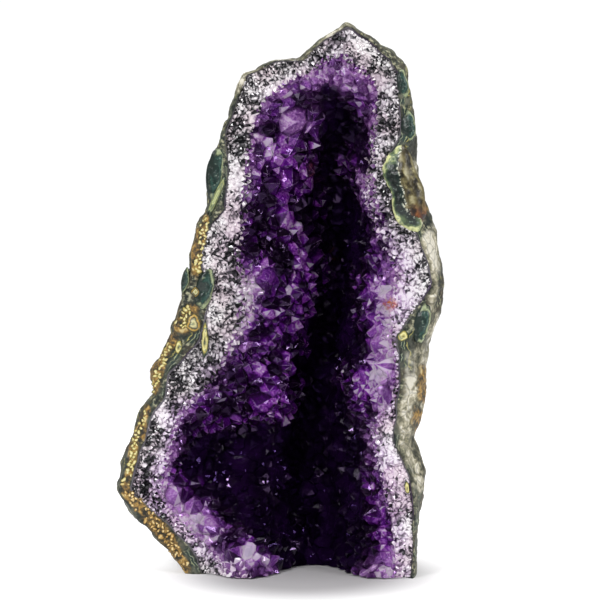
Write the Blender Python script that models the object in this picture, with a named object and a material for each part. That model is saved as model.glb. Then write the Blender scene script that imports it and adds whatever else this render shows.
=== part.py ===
"""Amethyst cluster: a piece of geode wall, sawn flat underneath so that it stands by itself.

Two pieces make it up. rock_shell is the curved wall of weathered basalt whose front edge is a
band of agate. crystal_crust is the quartz and amethyst that grew on the inner side of that wall
as one mass. The object is in metres with +Z up. Its open side faces -Y, it stands on z = 0, and
its origin is the middle of the bottom of its box.
"""

import math

import bmesh
import bpy
import numpy as np
from mathutils import Matrix, Vector, geometry
from mathutils.bvhtree import BVHTree

MM = 0.001

# The outline seen from the front, clockwise from the peak, in millimetres. Each row is
# (x, z, skin, band): a point of the outline, how far the rim's front edge lies inside it, and
# how wide the pale quartz face is between the agate and the purple crystals. The points under
# z = 0 carry the wall on below the saw cut, which takes them off.
OUTLINE_MM = (
    (22.1, 179.9, 1.0, 13.0),  # peak
    (28.0, 175.9, 1.0, 13.0),
    (37.4, 170.0, 1.0, 12.0),
    (41.0, 166.4, 1.0, 11.0),  # right shoulder
    (42.3, 156.6, 1.0, 8.0),
    (44.6, 144.9, 1.5, 7.0),
    (45.0, 132.4, 8.0, 4.0),  # agate lobe, top
    (47.6, 120.3, 7.0, 4.0),  # agate lobe, bottom
    (51.5, 111.5, 5.0, 6.0),
    (52.8, 101.7, 2.5, 8.0),
    (54.1, 94.2, 2.0, 12.0),  # widest point on the right
    (52.8, 85.0, 4.0, 10.0),
    (50.2, 75.9, 7.0, 4.0),
    (47.6, 68.3, 6.0, 3.0),
    (48.2, 61.8, 7.0, 2.0),  # brown lump
    (46.6, 50.0, 7.0, 3.0),
    (44.3, 43.2, 5.0, 5.0),  # waist
    (48.2, 32.0, 5.5, 6.0),
    (45.9, 21.3, 2.5, 4.0),
    (44.6, 4.3, 1.5, 4.0),  # right foot
    (43.3, -8.8, 1.0, 5.0),
    (38.7, -26.8, 1.0, 6.0),
    (23.1, -41.5, 1.0, 7.0),
    (1.8, -43.2, 1.0, 8.0),
    (-15.5, -31.7, 1.0, 9.0),
    (-25.0, -12.1, 1.0, 10.0),
    (-32.4, 1.4, 1.0, 10.0),  # left foot
    (-39.3, 8.3, 1.0, 10.0),
    (-48.0, 17.3, 1.0, 8.0),
    (-54.1, 27.0, 1.0, 12.0),  # left tip
    (-51.8, 36.0, 2.0, 12.0),
    (-46.3, 52.6, 2.0, 12.0),
    (-42.0, 57.9, 1.0, 14.0),
    (-42.7, 65.7, 1.0, 18.0),
    (-35.8, 77.8, 1.0, 15.0),
    (-32.2, 92.5, 1.0, 14.0),
    (-29.9, 101.7, 1.0, 12.0),
    (-27.6, 112.2, 1.0, 9.0),
    (-23.1, 120.3, 1.5, 5.0),
    (-23.1, 135.1, 3.0, 4.0),  # green chalcedony patch
    (-19.5, 142.2, 1.0, 5.0),
    (-13.6, 158.6, 1.0, 6.0),
    (-11.6, 163.2, 1.0, 8.0),  # left shoulder
    (-1.5, 168.1, 1.0, 8.0),
    (7.0, 167.8, 1.0, 5.0),  # notch
    (12.6, 173.3, 1.0, 9.0),
)
AXIS = np.array((16, 76)) * MM  # x and z of the axis that the wall closes on at the back
SPINE = np.array(((6, 32), (24, 140))) * MM  # x and z of the middle line's foot and top

# Depths, along Y.
FRONT_Y_FOOT = -35.2 * MM  # the feet stand furthest forward
FRONT_Y_PEAK = -24.2 * MM  # the wall leans back towards the peak
LEFT_TURN = 10 * MM  # how much further back the left rim stands
LEFT_TURN_FROM, LEFT_TURN_TO = -4 * MM, -42 * MM
RIM_WAVE, RIM_WAVE_FROM = 1.4 * MM, 30 * MM  # the broken edge is uneven above the feet
LOBE = np.array((46, 125, 12, 13)) * MM  # x and z of the agate lobe's middle, and its half widths
LOBE_RISE = 4 * MM
BACK_Y = 35.6 * MM
TOP_Z = 180 * MM
SKIN_BULGE = 6 * MM  # how far behind the rim the wall is widest
SKIN_BULGE_PER_SKIN = 0.8
ROUNDNESS, ROUNDNESS_RIGHT = 2.0, 0.4  # 2 makes the back an ellipse, more makes it squarer
BAND_SLOPE = 0.35  # the quartz face falls back this much for each unit that it runs inwards

# Walls.
ROCK_RIM = 3.6 * MM  # agate and rind at the front edge
ROCK_BACK = 6.5 * MM
JOINT_GAP = 0.4 * MM
BACK_LUMP = 2.6 * MM  # knobs of the weathered back
LUMP_LENGTH = 30 * MM
LUMP_ANGLES = (0, 50)  # degrees towards the back over which the knobs grow to their full height
SOFTENING = 40 * MM  # the outline's notches are rounded out over this length towards the back
SOFTENING_ANGLES = (5, 60)
CHEEK_SHARE = 0.4  # one ring lies this far from the front edge to the widest ring
CHEEK_SKIN = 0.4  # and this much of the skin's width inside the outline
CHEEK_IN, CHEEK_BACK = 0.85, 0.5  # how far its inner twin moves, for each unit of the wall

# The knobs are six waves. Each turns on from the last by these angles, in radians, and is a
# little shorter.
WAVES = 6
WAVE_TURNS, WAVE_STARTS = (2.4, 1.7), (0.5, 0.9)
WAVE_PACE, WAVE_PACE_STEP = 0.7, 0.17
WAVE_SHIFT = 1.3

# The hollow, as depths behind the inner edge of the quartz face. The slot is a deep crack that
# runs down the middle of it: rows of (z, x, half width) in millimetres, from the top.
BOWL_DEPTH = 20 * MM
BOWL_POWER = 1.7
SLOT_MM = (
    (164, 26, 4),
    (150, 22, 8),
    (134, 19, 7),
    (112, 23, 12),
    (93, 20, 7),
    (76, 17, 9),
    (60, 13, 7),
    (40, 11, 10),
    (0, 11, 12),
)
SLOT_DEPTH = 22 * MM
SLOT_TOP = 152 * MM
SLOT_FADE = 16 * MM

# Forms of the open face: x and z of the middle, and the half widths in x and z.
PIT, PIT_DEPTH = np.array((-17, 39, 15, 9)) * MM, 11 * MM  # over the left foot
RIDGE, RIDGE_RISE = np.array((0, 72, 13, 24)) * MM, 5 * MM  # a swelling left of the slot
LEFT_FOOT, LEFT_FOOT_RISE = np.array((-10, 0, 13, 24)) * MM, 11 * MM
RIGHT_FOOT, RIGHT_FOOT_RISE = np.array((30, 0, 8, 24)) * MM, 6 * MM

# Crystals.
CRYSTAL_SPACING = 3.9 * MM  # the least from tip to tip
BIG_CRYSTALS = 0.45  # how much wider they stand where they are biggest, left of the slot
BIG = np.array((3, 105, 14, 55)) * MM  # middle and half widths of that stretch
CRYSTAL_HEIGHT = 0.38  # how far a tip rises over the hollow's wall, for each unit of spacing
GRAIN_SPACING = 3.3 * MM  # the coarse grains of the pale band
GRAIN_HEIGHT = 0.22
VALLEY_SHARE = 0.9  # how far valleys sink, for each unit that tips rise
CRYSTAL_LEAN = 0.07
SETTLING_ROUNDS = 12
CRYSTAL_SEED = 7
CANDIDATES = 16000
FLOOR_MARGIN = -9 * MM  # crystals go on to here, under the saw cut
TIP_RANGE = (0.7, 1.35)  # how much taller or shorter than usual a crystal may be
SMALLER_FROM, SMALLER_TO = 0.7, 1.0  # shares over which crystals shrink to grains
FLATTER_FROM, FLATTER_TO = 0.85, 1.05  # shares over which they grow flatter
LAST_SEAT = 0.98  # of the face's area, so that no seat lies on the rim
DRAWN_BACK = 0.6  # what a crystal that runs into another keeps of its height

# The mesh.
RING_STEP = 8.5 * MM  # spacing of the wall's facets along the outline
BACK_ANGLES = (14, 28, 42, 55, 67, 77, 85)  # degrees from the widest ring towards the back
FLAT_STEPS = 49  # where a way along the face is measured
NUDGE_AROUND, NUDGE_OUT = 0.05, 0.01  # steps for the face's slopes, in places and shares
SAME_POINT = 1e-4  # in millimetres

# The pieces' colours, as linear light, and their roughness.
BASALT, BASALT_ROUGHNESS = (0.17, 0.17, 0.13), 0.8
AMETHYST, AMETHYST_ROUGHNESS = (0.17, 0.03, 0.36), 0.12


def smoothstep(low, high, value):
    """0 below low, 1 above high, and a smooth S between them."""
    t = np.clip((value - low) / (high - low), 0, 1)
    return t * t * (3 - 2 * t)


def bump(x, z, middle_x, middle_z, half_x, half_z):
    """1 at the middle, falling away to nothing like a bell beyond the half widths."""
    return np.exp(-(((x - middle_x) / half_x) ** 2) - ((z - middle_z) / half_z) ** 2)


def outline_samples(step):
    """The outline cut into stretches of about step: arrays of x, z, skin and band, in metres."""
    rows = np.array(OUTLINE_MM) * MM
    pieces = []
    for start, end in zip(rows, np.roll(rows, -1, axis=0)):
        count = max(1, round(float(np.hypot(*(end - start)[:2])) / step))
        share = np.arange(count)[:, None] / count
        pieces.append(start + (end - start) * share)
    return np.concatenate(pieces)


def front_y(x, z):
    """Where the rim's front edge lies for a point of the outline.

    It stands forward at the feet and at the agate lobe, and back at the peak and on the left.
    """
    slope = FRONT_Y_FOOT + (FRONT_Y_PEAK - FRONT_Y_FOOT) * z / TOP_Z
    turned_back = LEFT_TURN * (1 - smoothstep(LEFT_TURN_TO, LEFT_TURN_FROM, x))
    wave = RIM_WAVE * lumps(x, 0, z) * smoothstep(0, RIM_WAVE_FROM, z)
    return slope + turned_back + wave - LOBE_RISE * bump(x, z, *LOBE)


def lumps(x, y, z):
    """Gentle knobs, mostly between -1 and 1: waves that run in different directions."""
    total = 0
    for turn in range(WAVES):
        a, b = (step * turn + start for step, start in zip(WAVE_TURNS, WAVE_STARTS))
        way = (math.cos(a) * math.sin(b), math.sin(a) * math.sin(b), math.cos(b))
        along = (x * way[0] + y * way[1] + z * way[2]) * 2 * math.pi / LUMP_LENGTH
        total = total + np.sin(along * (WAVE_PACE + WAVE_PACE_STEP * turn) + WAVE_SHIFT * turn)
    return total * 2 / WAVES


class Wall:
    """The rock wall as rings from the front edge to the pole at the back.

    Near the rim the wall is measured square to its outline, towards a spine that runs down the
    middle. Behind the rim its rings close on the axis.
    """

    def __init__(self, step):
        """Samples the outline and works out what the rings need."""
        samples = outline_samples(step)
        self.outline = samples[:, :2]
        self.skin, self.band = samples[:, 2], samples[:, 3]
        low, high = SPINE
        along = (self.outline - low) @ (high - low) / ((high - low) @ (high - low))
        inward = low + (high - low) * along.clip(0, 1)[:, None] - self.outline
        self.inward = inward / np.linalg.norm(inward, axis=1, keepdims=True)
        span = max(1, round(SOFTENING / step))
        turns = range(-span, span + 1)
        self.soft = sum(np.roll(self.outline, turn, axis=0) for turn in turns) / len(turns)
        self.front = front_y(*self.outline.T)
        self.widest = self.front + SKIN_BULGE + SKIN_BULGE_PER_SKIN * self.skin
        right = (self.outline[:, 0] - AXIS[0]) / np.linalg.norm(self.outline - AXIS, axis=1)
        self.power = 2 / (ROUNDNESS + ROUNDNESS_RIGHT * right)

    def inset(self, distance):
        """The outline moved in by a distance."""
        return self.outline + self.inward * distance[:, None]

    def ring(self, plan, y, push_in, push_front, depth):
        """One ring of points: a plan of x and z, moved in and to the front by a depth."""
        moved = plan + self.inward * (depth * push_in)[:, None]
        return np.stack([moved[:, 0], y - depth * push_front, moved[:, 1]], axis=1)

    def rings(self, depth_rim, depth_back):
        """The rings of the surface that lies this far inside the outer one, and its pole."""
        thin = np.full(len(self.skin), depth_rim)
        cheek = self.inset(CHEEK_SKIN * self.skin)
        cheek_y = (1 - CHEEK_SHARE) * self.front + CHEEK_SHARE * self.widest
        found = [
            self.ring(self.inset(self.skin), self.front, 1.0, 0.0, thin),
            self.ring(cheek, cheek_y, CHEEK_IN, -CHEEK_BACK, thin),
            self.ring(self.outline, self.widest, 1.0, 0.0, thin),
        ]
        for degrees in BACK_ANGLES:
            turn = math.radians(degrees)
            soft = self.outline + (self.soft - self.outline) * smoothstep(*SOFTENING_ANGLES, degrees)
            plan = AXIS + (soft - AXIS) * (math.cos(turn) ** self.power)[:, None]
            y = self.widest + (BACK_Y - self.widest) * math.sin(turn) ** self.power
            swell = BACK_LUMP * smoothstep(*LUMP_ANGLES, degrees) * lumps(plan[:, 0], y, plan[:, 1])
            depth = depth_rim + (depth_back - depth_rim) * math.sin(turn) - swell
            found.append(self.ring(plan, y, math.cos(turn), math.sin(turn), depth))
        swell = BACK_LUMP * lumps(AXIS[0], BACK_Y, AXIS[1])
        return found, np.array([AXIS[0], BACK_Y + swell - depth_back, AXIS[1]])


class CrystalFace:
    """The face of the quartz mass that stands open: a pale band, and the hollow inside it.

    A point of it has a place, counted in samples round the rim, and a share, which runs from 0
    in the middle of the hollow to 1 at the hollow's edge and on to 2 at the agate.
    """

    def __init__(self, wall):
        """Works out the curves at the face's rim and at the hollow's edge."""
        self.count = len(wall.skin)
        start = wall.skin + ROCK_RIM + JOINT_GAP
        self.rim = wall.inset(start)
        self.edge = wall.inset(start + wall.band)
        self.front, self.band = wall.front, wall.band

    def around(self, values, place):
        """A value of the rim's samples read at any place between them."""
        return np.interp(place % self.count, np.arange(self.count + 1), np.append(values, values[0]))

    def depth(self, x, z, share):
        """How far the hollow goes behind its edge: a bowl with a slot, a pit and a ridge."""
        bowl = BOWL_DEPTH * (1 - share**BOWL_POWER)
        height, middle, half = np.array(SLOT_MM[::-1]).T * MM
        across = (x - np.interp(z, height, middle)) / np.interp(z, height, half)
        slot = SLOT_DEPTH * np.exp(-(np.abs(across) ** 3))
        slot = slot * (1 - smoothstep(SLOT_TOP - SLOT_FADE, SLOT_TOP + SLOT_FADE, z))
        pit = PIT_DEPTH * bump(x, z, *PIT)
        ridge = RIDGE_RISE * bump(x, z, *RIDGE)
        feet = LEFT_FOOT_RISE * bump(x, z, *LEFT_FOOT) + RIGHT_FOOT_RISE * bump(x, z, *RIGHT_FOOT)
        return bowl + (slot + pit - ridge) * (1 - share**4) - feet

    def points(self, place, share):
        """Points of the face, as an array whose last axis is x, y and z."""
        inside = np.minimum(share, 1)
        outside = np.maximum(share, 1) - 1
        x, z = (
            AXIS[i]
            + (self.around(self.edge[:, i], place) - AXIS[i]) * inside
            + self.around(self.rim[:, i] - self.edge[:, i], place) * outside
            for i in (0, 1)
        )
        behind = BAND_SLOPE * self.around(self.band, place) + self.depth(x, z, inside)
        y = self.around(self.front, place) + behind * (1 - outside)
        return np.stack([x, y, z], axis=-1)

    def normals(self, place, share):
        """The directions that point out of the quartz."""
        around = self.points(place + NUDGE_AROUND, share) - self.points(place - NUDGE_AROUND, share)
        outward = self.points(place, share + NUDGE_OUT) - self.points(place, share - NUDGE_OUT)
        normal = np.cross(around, outward)
        normal = normal / np.maximum(np.linalg.norm(normal, axis=-1, keepdims=True), 1e-12)
        return np.where(normal[..., 1:2] > 0, -normal, normal)

    def flat(self, place, share):
        """The face rolled out flat: each point as far from the middle as it is along the face."""
        steps = np.linspace(0, 1, FLAT_STEPS)
        run = self.points(place[:, None], share[:, None] * steps)
        length = np.linalg.norm(np.diff(run, axis=1), axis=-1).sum(axis=1)
        way = np.stack([self.around(self.edge[:, i], place) - AXIS[i] for i in (0, 1)], axis=1)
        return way * (length / np.linalg.norm(way, axis=1))[:, None]


def crystal_size(points, share):
    """How far apart crystals stand: big on the ridge, small at the hollow's edge."""
    big = bump(points[:, 0], points[:, 2], *BIG)
    inside = CRYSTAL_SPACING * (1 + BIG_CRYSTALS * big)
    edge = smoothstep(SMALLER_FROM, SMALLER_TO, share)
    return inside + (GRAIN_SPACING - inside) * edge


def seats(face, ring):
    """Where crystals stand, as places and shares: each next one fills the widest free spot."""
    rng = np.random.default_rng(CRYSTAL_SEED)
    place = rng.uniform(0, face.count, CANDIDATES)
    share = 2 * np.sqrt(rng.uniform(0.0, LAST_SEAT, CANDIDATES))
    points = face.points(place, share)
    above = points[:, 2] > FLOOR_MARGIN
    place, share, points = place[above], share[above], points[above]
    size = crystal_size(points, share)
    nearest = np.linalg.norm(points[:, None] - ring[None], axis=-1).min(axis=1) / size
    chosen = []
    while nearest.max() > 1:
        chosen.append(int(nearest.argmax()))
        away = np.linalg.norm(points - points[chosen[-1]], axis=1)
        nearest = np.minimum(nearest, away / size)
    chosen = np.array(chosen)
    return place[chosen], share[chosen], size[chosen]


def crystal_bed(face):
    """The open face as a bed of crystals: its vertices, the rim's first, and its triangles.

    The seats are joined into triangles. Every seat then rises to a crystal's tip, the middle of
    every triangle sinks to the valley where three crystals meet, and each edge between two
    seats gives way to one between two valleys. So each crystal is a point with flat faces.
    """
    ring_place, ring_share = np.arange(float(face.count)), np.full(face.count, 2.0)
    ring = face.points(ring_place, ring_share)
    place, share, size = seats(face, ring)
    flat = np.concatenate([face.flat(ring_place, ring_share), face.flat(place, share)])
    border = list(range(face.count))
    corners = [Vector(p) for p in flat / MM]
    found = geometry.delaunay_2d_cdt(corners, [], [border], 1, SAME_POINT)
    source = np.array([first[0] for first in found[3]])
    triangles = source[np.array(found[2])]

    flatter = smoothstep(FLATTER_FROM, FLATTER_TO, share)
    tip = CRYSTAL_HEIGHT + (GRAIN_HEIGHT - CRYSTAL_HEIGHT) * flatter
    rng = np.random.default_rng(CRYSTAL_SEED + 1)
    rise = size * tip * rng.uniform(*TIP_RANGE, len(size))
    lean = rng.normal(0, CRYSTAL_LEAN, (len(size), 3)).clip(-2 * CRYSTAL_LEAN, 2 * CRYSTAL_LEAN)
    base = face.points(place, share)
    normal = face.normals(place, share)
    flush = np.zeros((face.count, 3))
    grown = np.concatenate([flush, normal * rise[:, None] + lean * size[:, None]])
    sunk = VALLEY_SHARE * np.concatenate([flush, normal * (size * tip)[:, None]])
    seat = np.concatenate([ring, base])
    seat = np.concatenate([seat, seat[triangles].mean(axis=1)])
    moved = np.concatenate([grown, -sunk[triangles].mean(axis=1)])

    owner = {}
    for number, corners in enumerate(triangles):
        for a, b in zip(corners, np.roll(corners, -1)):
            owner[int(a), int(b)] = len(grown) + number
    faces = []
    for (a, b), valley in owner.items():
        beyond = owner.get((b, a))
        faces.append((a, b, valley) if beyond is None else (a, beyond, valley))
    return settle(seat, moved, faces), faces


def settle(seat, moved, faces):
    """The bed's points, with those of crystals that run into each other drawn back."""
    for _ in range(SETTLING_ROUNDS):
        tree = BVHTree.FromPolygons((seat + moved).tolist(), faces)
        clash = set()
        for first, second in tree.overlap(tree):
            if not set(faces[first]) & set(faces[second]):
                clash.update(faces[first])
        if not clash:
            break
        moved[list(clash)] *= DRAWN_BACK
    return seat + moved


def mesh_object(name, bm):
    """A new object named name that holds bm, with its normals facing out."""
    bmesh.ops.recalc_face_normals(bm, faces=bm.faces)
    mesh = bpy.data.meshes.new(name)
    bm.to_mesh(mesh)
    bm.free()
    obj = bpy.data.objects.new(name, mesh)
    bpy.context.scene.collection.objects.link(obj)
    return obj


def bridge(bm, first, second):
    """Joins two rows of vertices, each of which closes on itself, with a band of triangles."""
    for i in range(len(first)):
        j = (i + 1) % len(first)
        bm.faces.new((first[i], first[j], second[j]))
        bm.faces.new((first[i], second[j], second[i]))


def add_dome(bm, rings, pole):
    """Adds the rings from front to back, closed at the pole, and returns the front row."""
    rows = [[bm.verts.new(p) for p in ring] for ring in rings]
    for first, second in zip(rows, rows[1:]):
        bridge(bm, first, second)
    tip = bm.verts.new(pole)
    last = rows[-1]
    for i, vert in enumerate(last):
        bm.faces.new((vert, last[(i + 1) % len(last)], tip))
    return rows[0]


def finish(name, colour, roughness):
    """A material with the piece's main colour."""
    material = bpy.data.materials.new(name)
    material.use_nodes = True
    shader = material.node_tree.nodes["Principled BSDF"]
    shader.inputs["Base Color"].default_value = (*colour, 1.0)
    shader.inputs["Roughness"].default_value = roughness
    shader.inputs["Metallic"].default_value = 0.0
    return material


def helper(obj):
    """Marks a cutter or a body that a Boolean reads, which is no piece of the object."""
    obj.hide_render = True
    obj.display_type = "WIRE"
    return obj


def boolean(obj, operation, other):
    """Leaves a Boolean modifier on obj."""
    modifier = obj.modifiers.new(other.name, "BOOLEAN")
    modifier.operation = operation
    modifier.object = other
    modifier.solver = "EXACT"


def saw_block(name, height):
    """A block that takes away everything below height."""
    bm = bmesh.new()
    size = 400 * MM
    below = Matrix.Translation((0, 0, height - size / 2)) @ Matrix.Scale(size, 4)
    bmesh.ops.create_cube(bm, size=1, matrix=below)
    return helper(mesh_object(name, bm))


def build_rock_shell(wall, saw):
    """The rock wall: its outer dome, its inner dome and the agate face between them."""
    bm = bmesh.new()
    outside = add_dome(bm, *wall.rings(0, 0))
    inside = add_dome(bm, *wall.rings(ROCK_RIM, ROCK_BACK))
    bridge(bm, outside, inside)
    shell = mesh_object("rock_shell", bm)
    shell.data.materials.append(finish("weathered_basalt", BASALT, BASALT_ROUGHNESS))
    boolean(shell, "DIFFERENCE", saw)
    return shell


def build_crystal_crust(wall, saw):
    """The quartz mass between the rock and the hollow, with the crystals grown on it."""
    bed, faces = crystal_bed(CrystalFace(wall))
    bm = bmesh.new()
    rim = add_dome(bm, *wall.rings(ROCK_RIM + JOINT_GAP, ROCK_BACK + JOINT_GAP))
    verts = rim + [bm.verts.new(p) for p in bed[len(rim):]]
    for corners in faces:
        bm.faces.new([verts[i] for i in corners])
    crust = mesh_object("crystal_crust", bm)
    crust.data.materials.append(finish("amethyst_quartz", AMETHYST, AMETHYST_ROUGHNESS))
    boolean(crust, "DIFFERENCE", saw)
    return crust


def main():
    """Clears the scene and builds the two pieces."""
    for obj in list(bpy.data.objects):
        bpy.data.objects.remove(obj)
    wall = Wall(RING_STEP)
    build_rock_shell(wall, saw_block("saw_cut", 0.0))
    build_crystal_crust(wall, saw_block("crust_saw_cut", JOINT_GAP))


main()
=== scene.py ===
"""Amethyst cluster: the looks of a piece of amethyst geode that is sawn flat to stand.

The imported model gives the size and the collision. Four groups of meshes stand for it here: the
weathered basalt wall with its agate edge, the agate nodules that show in that edge, the pale
granular quartz inside it, and the clear purple crystals of the hollow. Every mesh is worked out
with numpy from one description of the geode's form, in metres, with +Z up and the open side
facing -Y. An array of points has x, y and z on its last axis.
"""

import logging
import math
from dataclasses import dataclass
from enum import Enum
from functools import partial, partialmethod
from typing import Callable, Optional, Sequence

import bmesh
import bpy
import numpy as np
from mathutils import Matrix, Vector, geometry


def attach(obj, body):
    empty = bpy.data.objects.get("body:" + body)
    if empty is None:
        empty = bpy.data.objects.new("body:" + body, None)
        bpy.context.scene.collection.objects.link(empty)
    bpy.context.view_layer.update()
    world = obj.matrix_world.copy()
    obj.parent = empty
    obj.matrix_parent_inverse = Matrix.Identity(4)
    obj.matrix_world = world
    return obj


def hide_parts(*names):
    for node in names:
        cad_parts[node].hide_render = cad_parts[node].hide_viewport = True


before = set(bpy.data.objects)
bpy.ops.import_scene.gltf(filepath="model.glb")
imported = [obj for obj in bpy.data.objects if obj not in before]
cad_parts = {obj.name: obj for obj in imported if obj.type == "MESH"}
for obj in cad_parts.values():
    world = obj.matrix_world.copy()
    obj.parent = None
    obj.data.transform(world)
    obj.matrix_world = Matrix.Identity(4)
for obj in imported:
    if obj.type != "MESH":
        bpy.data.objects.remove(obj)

MM = 0.001
LOG = logging.getLogger("amethyst_cluster")

Array = np.ndarray


def srgb(code: str) -> tuple[float, float, float, float]:
    """An sRGB hex colour as linear red, green and blue, with an alpha of 1, as shaders take it."""
    parts = [int(code[i:i + 2], 16) / 255 for i in (1, 3, 5)]
    return (*(c / 12.92 if c <= 0.04045 else ((c + 0.055) / 1.055) ** 2.4 for c in parts), 1.0)


# Numbers


def dot(first: Array, second: Array) -> Array:
    """The scalar product of vectors on the last axis."""
    return np.einsum("...i,...i->...", first, second)


def unit(vectors: Array) -> Array:
    """Vectors on the last axis brought to a length of 1."""
    return vectors / np.maximum(np.linalg.norm(vectors, axis=-1, keepdims=True), 1e-12)


def circle(sides: int) -> tuple[Array, Array, Array]:
    """Even angles round a circle, with their cosines and sines."""
    angle = np.linspace(0, 2 * math.pi, sides, endpoint=False)
    return angle, np.cos(angle), np.sin(angle)


def smoothstep(low: float, high: float, value: Array) -> Array:
    """0 below low, 1 above high, and a smooth S between them."""
    t = np.clip((value - low) / (high - low), 0, 1)
    return t * t * (3 - 2 * t)


def bump(x: Array, z: Array, form: Array) -> Array:
    """A bell of 1 at the middle of form, which holds the middle's x and z and two half widths."""
    return np.exp(-(((x - form[0]) / form[2]) ** 2) - ((z - form[1]) / form[3]) ** 2)


def lattice_random(corners: Array, seed: int) -> Array:
    """A fixed random number for each corner of a lattice.

    Args:
        corners: Whole numbers, with x, y and z on the last axis.
        seed: Picks one of many patterns.

    Returns:
        Numbers from 0 to 1: the coordinates times large odd numbers, joined bit by bit and
        stirred.
    """
    x, y, z = (corners[..., i].astype(np.int64).astype(np.uint32) for i in range(3))
    mixed = x * np.uint32(0x8DA6B343) ^ y * np.uint32(0xD8163841) ^ z * np.uint32(0xCB1AB31F)
    mixed = mixed ^ np.uint32(seed * 0x9E3779B1 & 0xFFFFFFFF)
    mixed = (mixed ^ (mixed >> np.uint32(15))) * np.uint32(0x85EBCA6B)
    mixed = (mixed ^ (mixed >> np.uint32(13))) * np.uint32(0xC2B2AE35)
    return (mixed ^ (mixed >> np.uint32(16))) / 2.0**32


def cloud(points: Array, length: float, seed: int, octaves: int = 1) -> Array:
    """Smooth noise between about -1 and 1.

    Args:
        points: The places.
        length: The size of the noise's lumps.
        seed: Picks one of many patterns.
        octaves: How many layers are added, each half the size and half the strength.

    Returns:
        Random numbers at the corners of a lattice, blended by smooth steps between them.
    """
    total = np.zeros(points.shape[:-1])
    for octave in range(octaves):
        scaled = points * (2**octave / length) + 17.3 * octave
        corner = np.floor(scaled)
        part = smoothstep(0, 1, scaled - corner)
        layer = np.zeros_like(total)
        for offset in np.ndindex(2, 2, 2):
            weight = np.prod(np.where(offset, part, 1 - part), axis=-1)
            layer += weight * lattice_random(corner + offset, seed + 31 * octave)
        total += (layer * 2 - 1) / 2**octave
    return total


def domes(points: Array, length: float, seed: int) -> tuple[Array, Array]:
    """Round domes on cellular noise: one random seat in each cell of a lattice.

    Args:
        points: The places.
        length: The size of a cell.
        seed: Picks one of many patterns.

    Returns:
        The height of the nearest seat's dome, a half circle over 0.8 of a cell, and a random
        number that belongs to that seat.
    """
    scaled = points / length
    home = np.floor(scaled)
    near = np.full(points.shape[:-1], 9.0)
    owner = near.copy()
    for offset in np.ndindex(3, 3, 3):
        cell = home + offset - 1
        seat = cell + np.stack([lattice_random(cell, seed + i) for i in range(3)], axis=-1)
        distance = np.linalg.norm(scaled - seat, axis=-1)
        owner = np.where(distance < near, lattice_random(cell, seed + 3), owner)
        near = np.minimum(near, distance)
    return np.sqrt(np.maximum(0, 1 - (near / 0.8) ** 2)), owner


def patches(points: Array, rows: Sequence[tuple]) -> Array:
    """How strongly a few soft patches cover each point, from 0 to 1.

    Args:
        points: The places.
        rows: For each patch its middle's x and z and its half widths, in millimetres.

    Returns:
        The strongest of the patches' bells at each point.
    """
    found = [bump(points[..., 0], points[..., 2], np.array(row) * MM) for row in rows]
    return np.max(found, axis=0)


def beside(points: Array, rows: Sequence[tuple], margin: float) -> Array:
    """How strongly a few straight rows cover each point, from 0 to 1.

    Args:
        points: The places.
        rows: For each row its first x and z, its last x and z and its half width, in
            millimetres.
        margin: How far beyond its width a row fades to nothing.

    Returns:
        1 on a row, and less with the distance from it.
    """
    found = []
    for x0, z0, x1, z1, width in np.array(rows) * MM:
        x, z = points[..., 0] - x0, points[..., 2] - z0
        along = (x * (x1 - x0) + z * (z1 - z0)) / ((x1 - x0) ** 2 + (z1 - z0) ** 2)
        along = along.clip(0, 1)
        gap = np.hypot(x - along * (x1 - x0), z - along * (z1 - z0)) - width
        found.append(smoothstep(margin, 0, gap))
    return np.max(found, axis=0)


def within(points: Array, rows: Sequence[tuple]) -> Array:
    """How far each point lies inside a shape along x, in metres, and less than 0 outside it.

    Args:
        points: The places.
        rows: The shape from the top: z, and the x of its left and right side, in millimetres.

    Returns:
        The distance to the nearer of the two sides at the point's height.
    """
    height, left, right = np.array(rows[::-1]).T * MM
    x, z = points[..., 0], points[..., 2]
    return np.minimum(x - np.interp(z, height, left), np.interp(z, height, right) - x)


def lumps(x: Array, y: Array, z: Array, length: float) -> Array:
    """The wall's slow knobs: a third of the sum of six sine waves that run in six directions."""
    total = 0
    for turn in range(6):
        a, b = 2.4 * turn + 0.5, 1.7 * turn + 0.9
        way = (math.cos(a) * math.sin(b), math.sin(a) * math.sin(b), math.cos(b))
        along = (x * way[0] + y * way[1] + z * way[2]) * 2 * math.pi / length
        total = total + np.sin(along * (0.7 + 0.17 * turn) + 1.3 * turn)
    return total / 3


def running_mean(values: Array, reach: int) -> Array:
    """The mean of each sample of a closed curve and reach samples on either side of it."""
    wrapped = np.concatenate([values[-reach:], values, values[:reach]])
    sums = np.cumsum(np.concatenate([wrapped[:1] * 0, wrapped]), axis=0)
    return (sums[2 * reach + 1:] - sums[:-2 * reach - 1]) / (2 * reach + 1)


# The form of the geode

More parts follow.
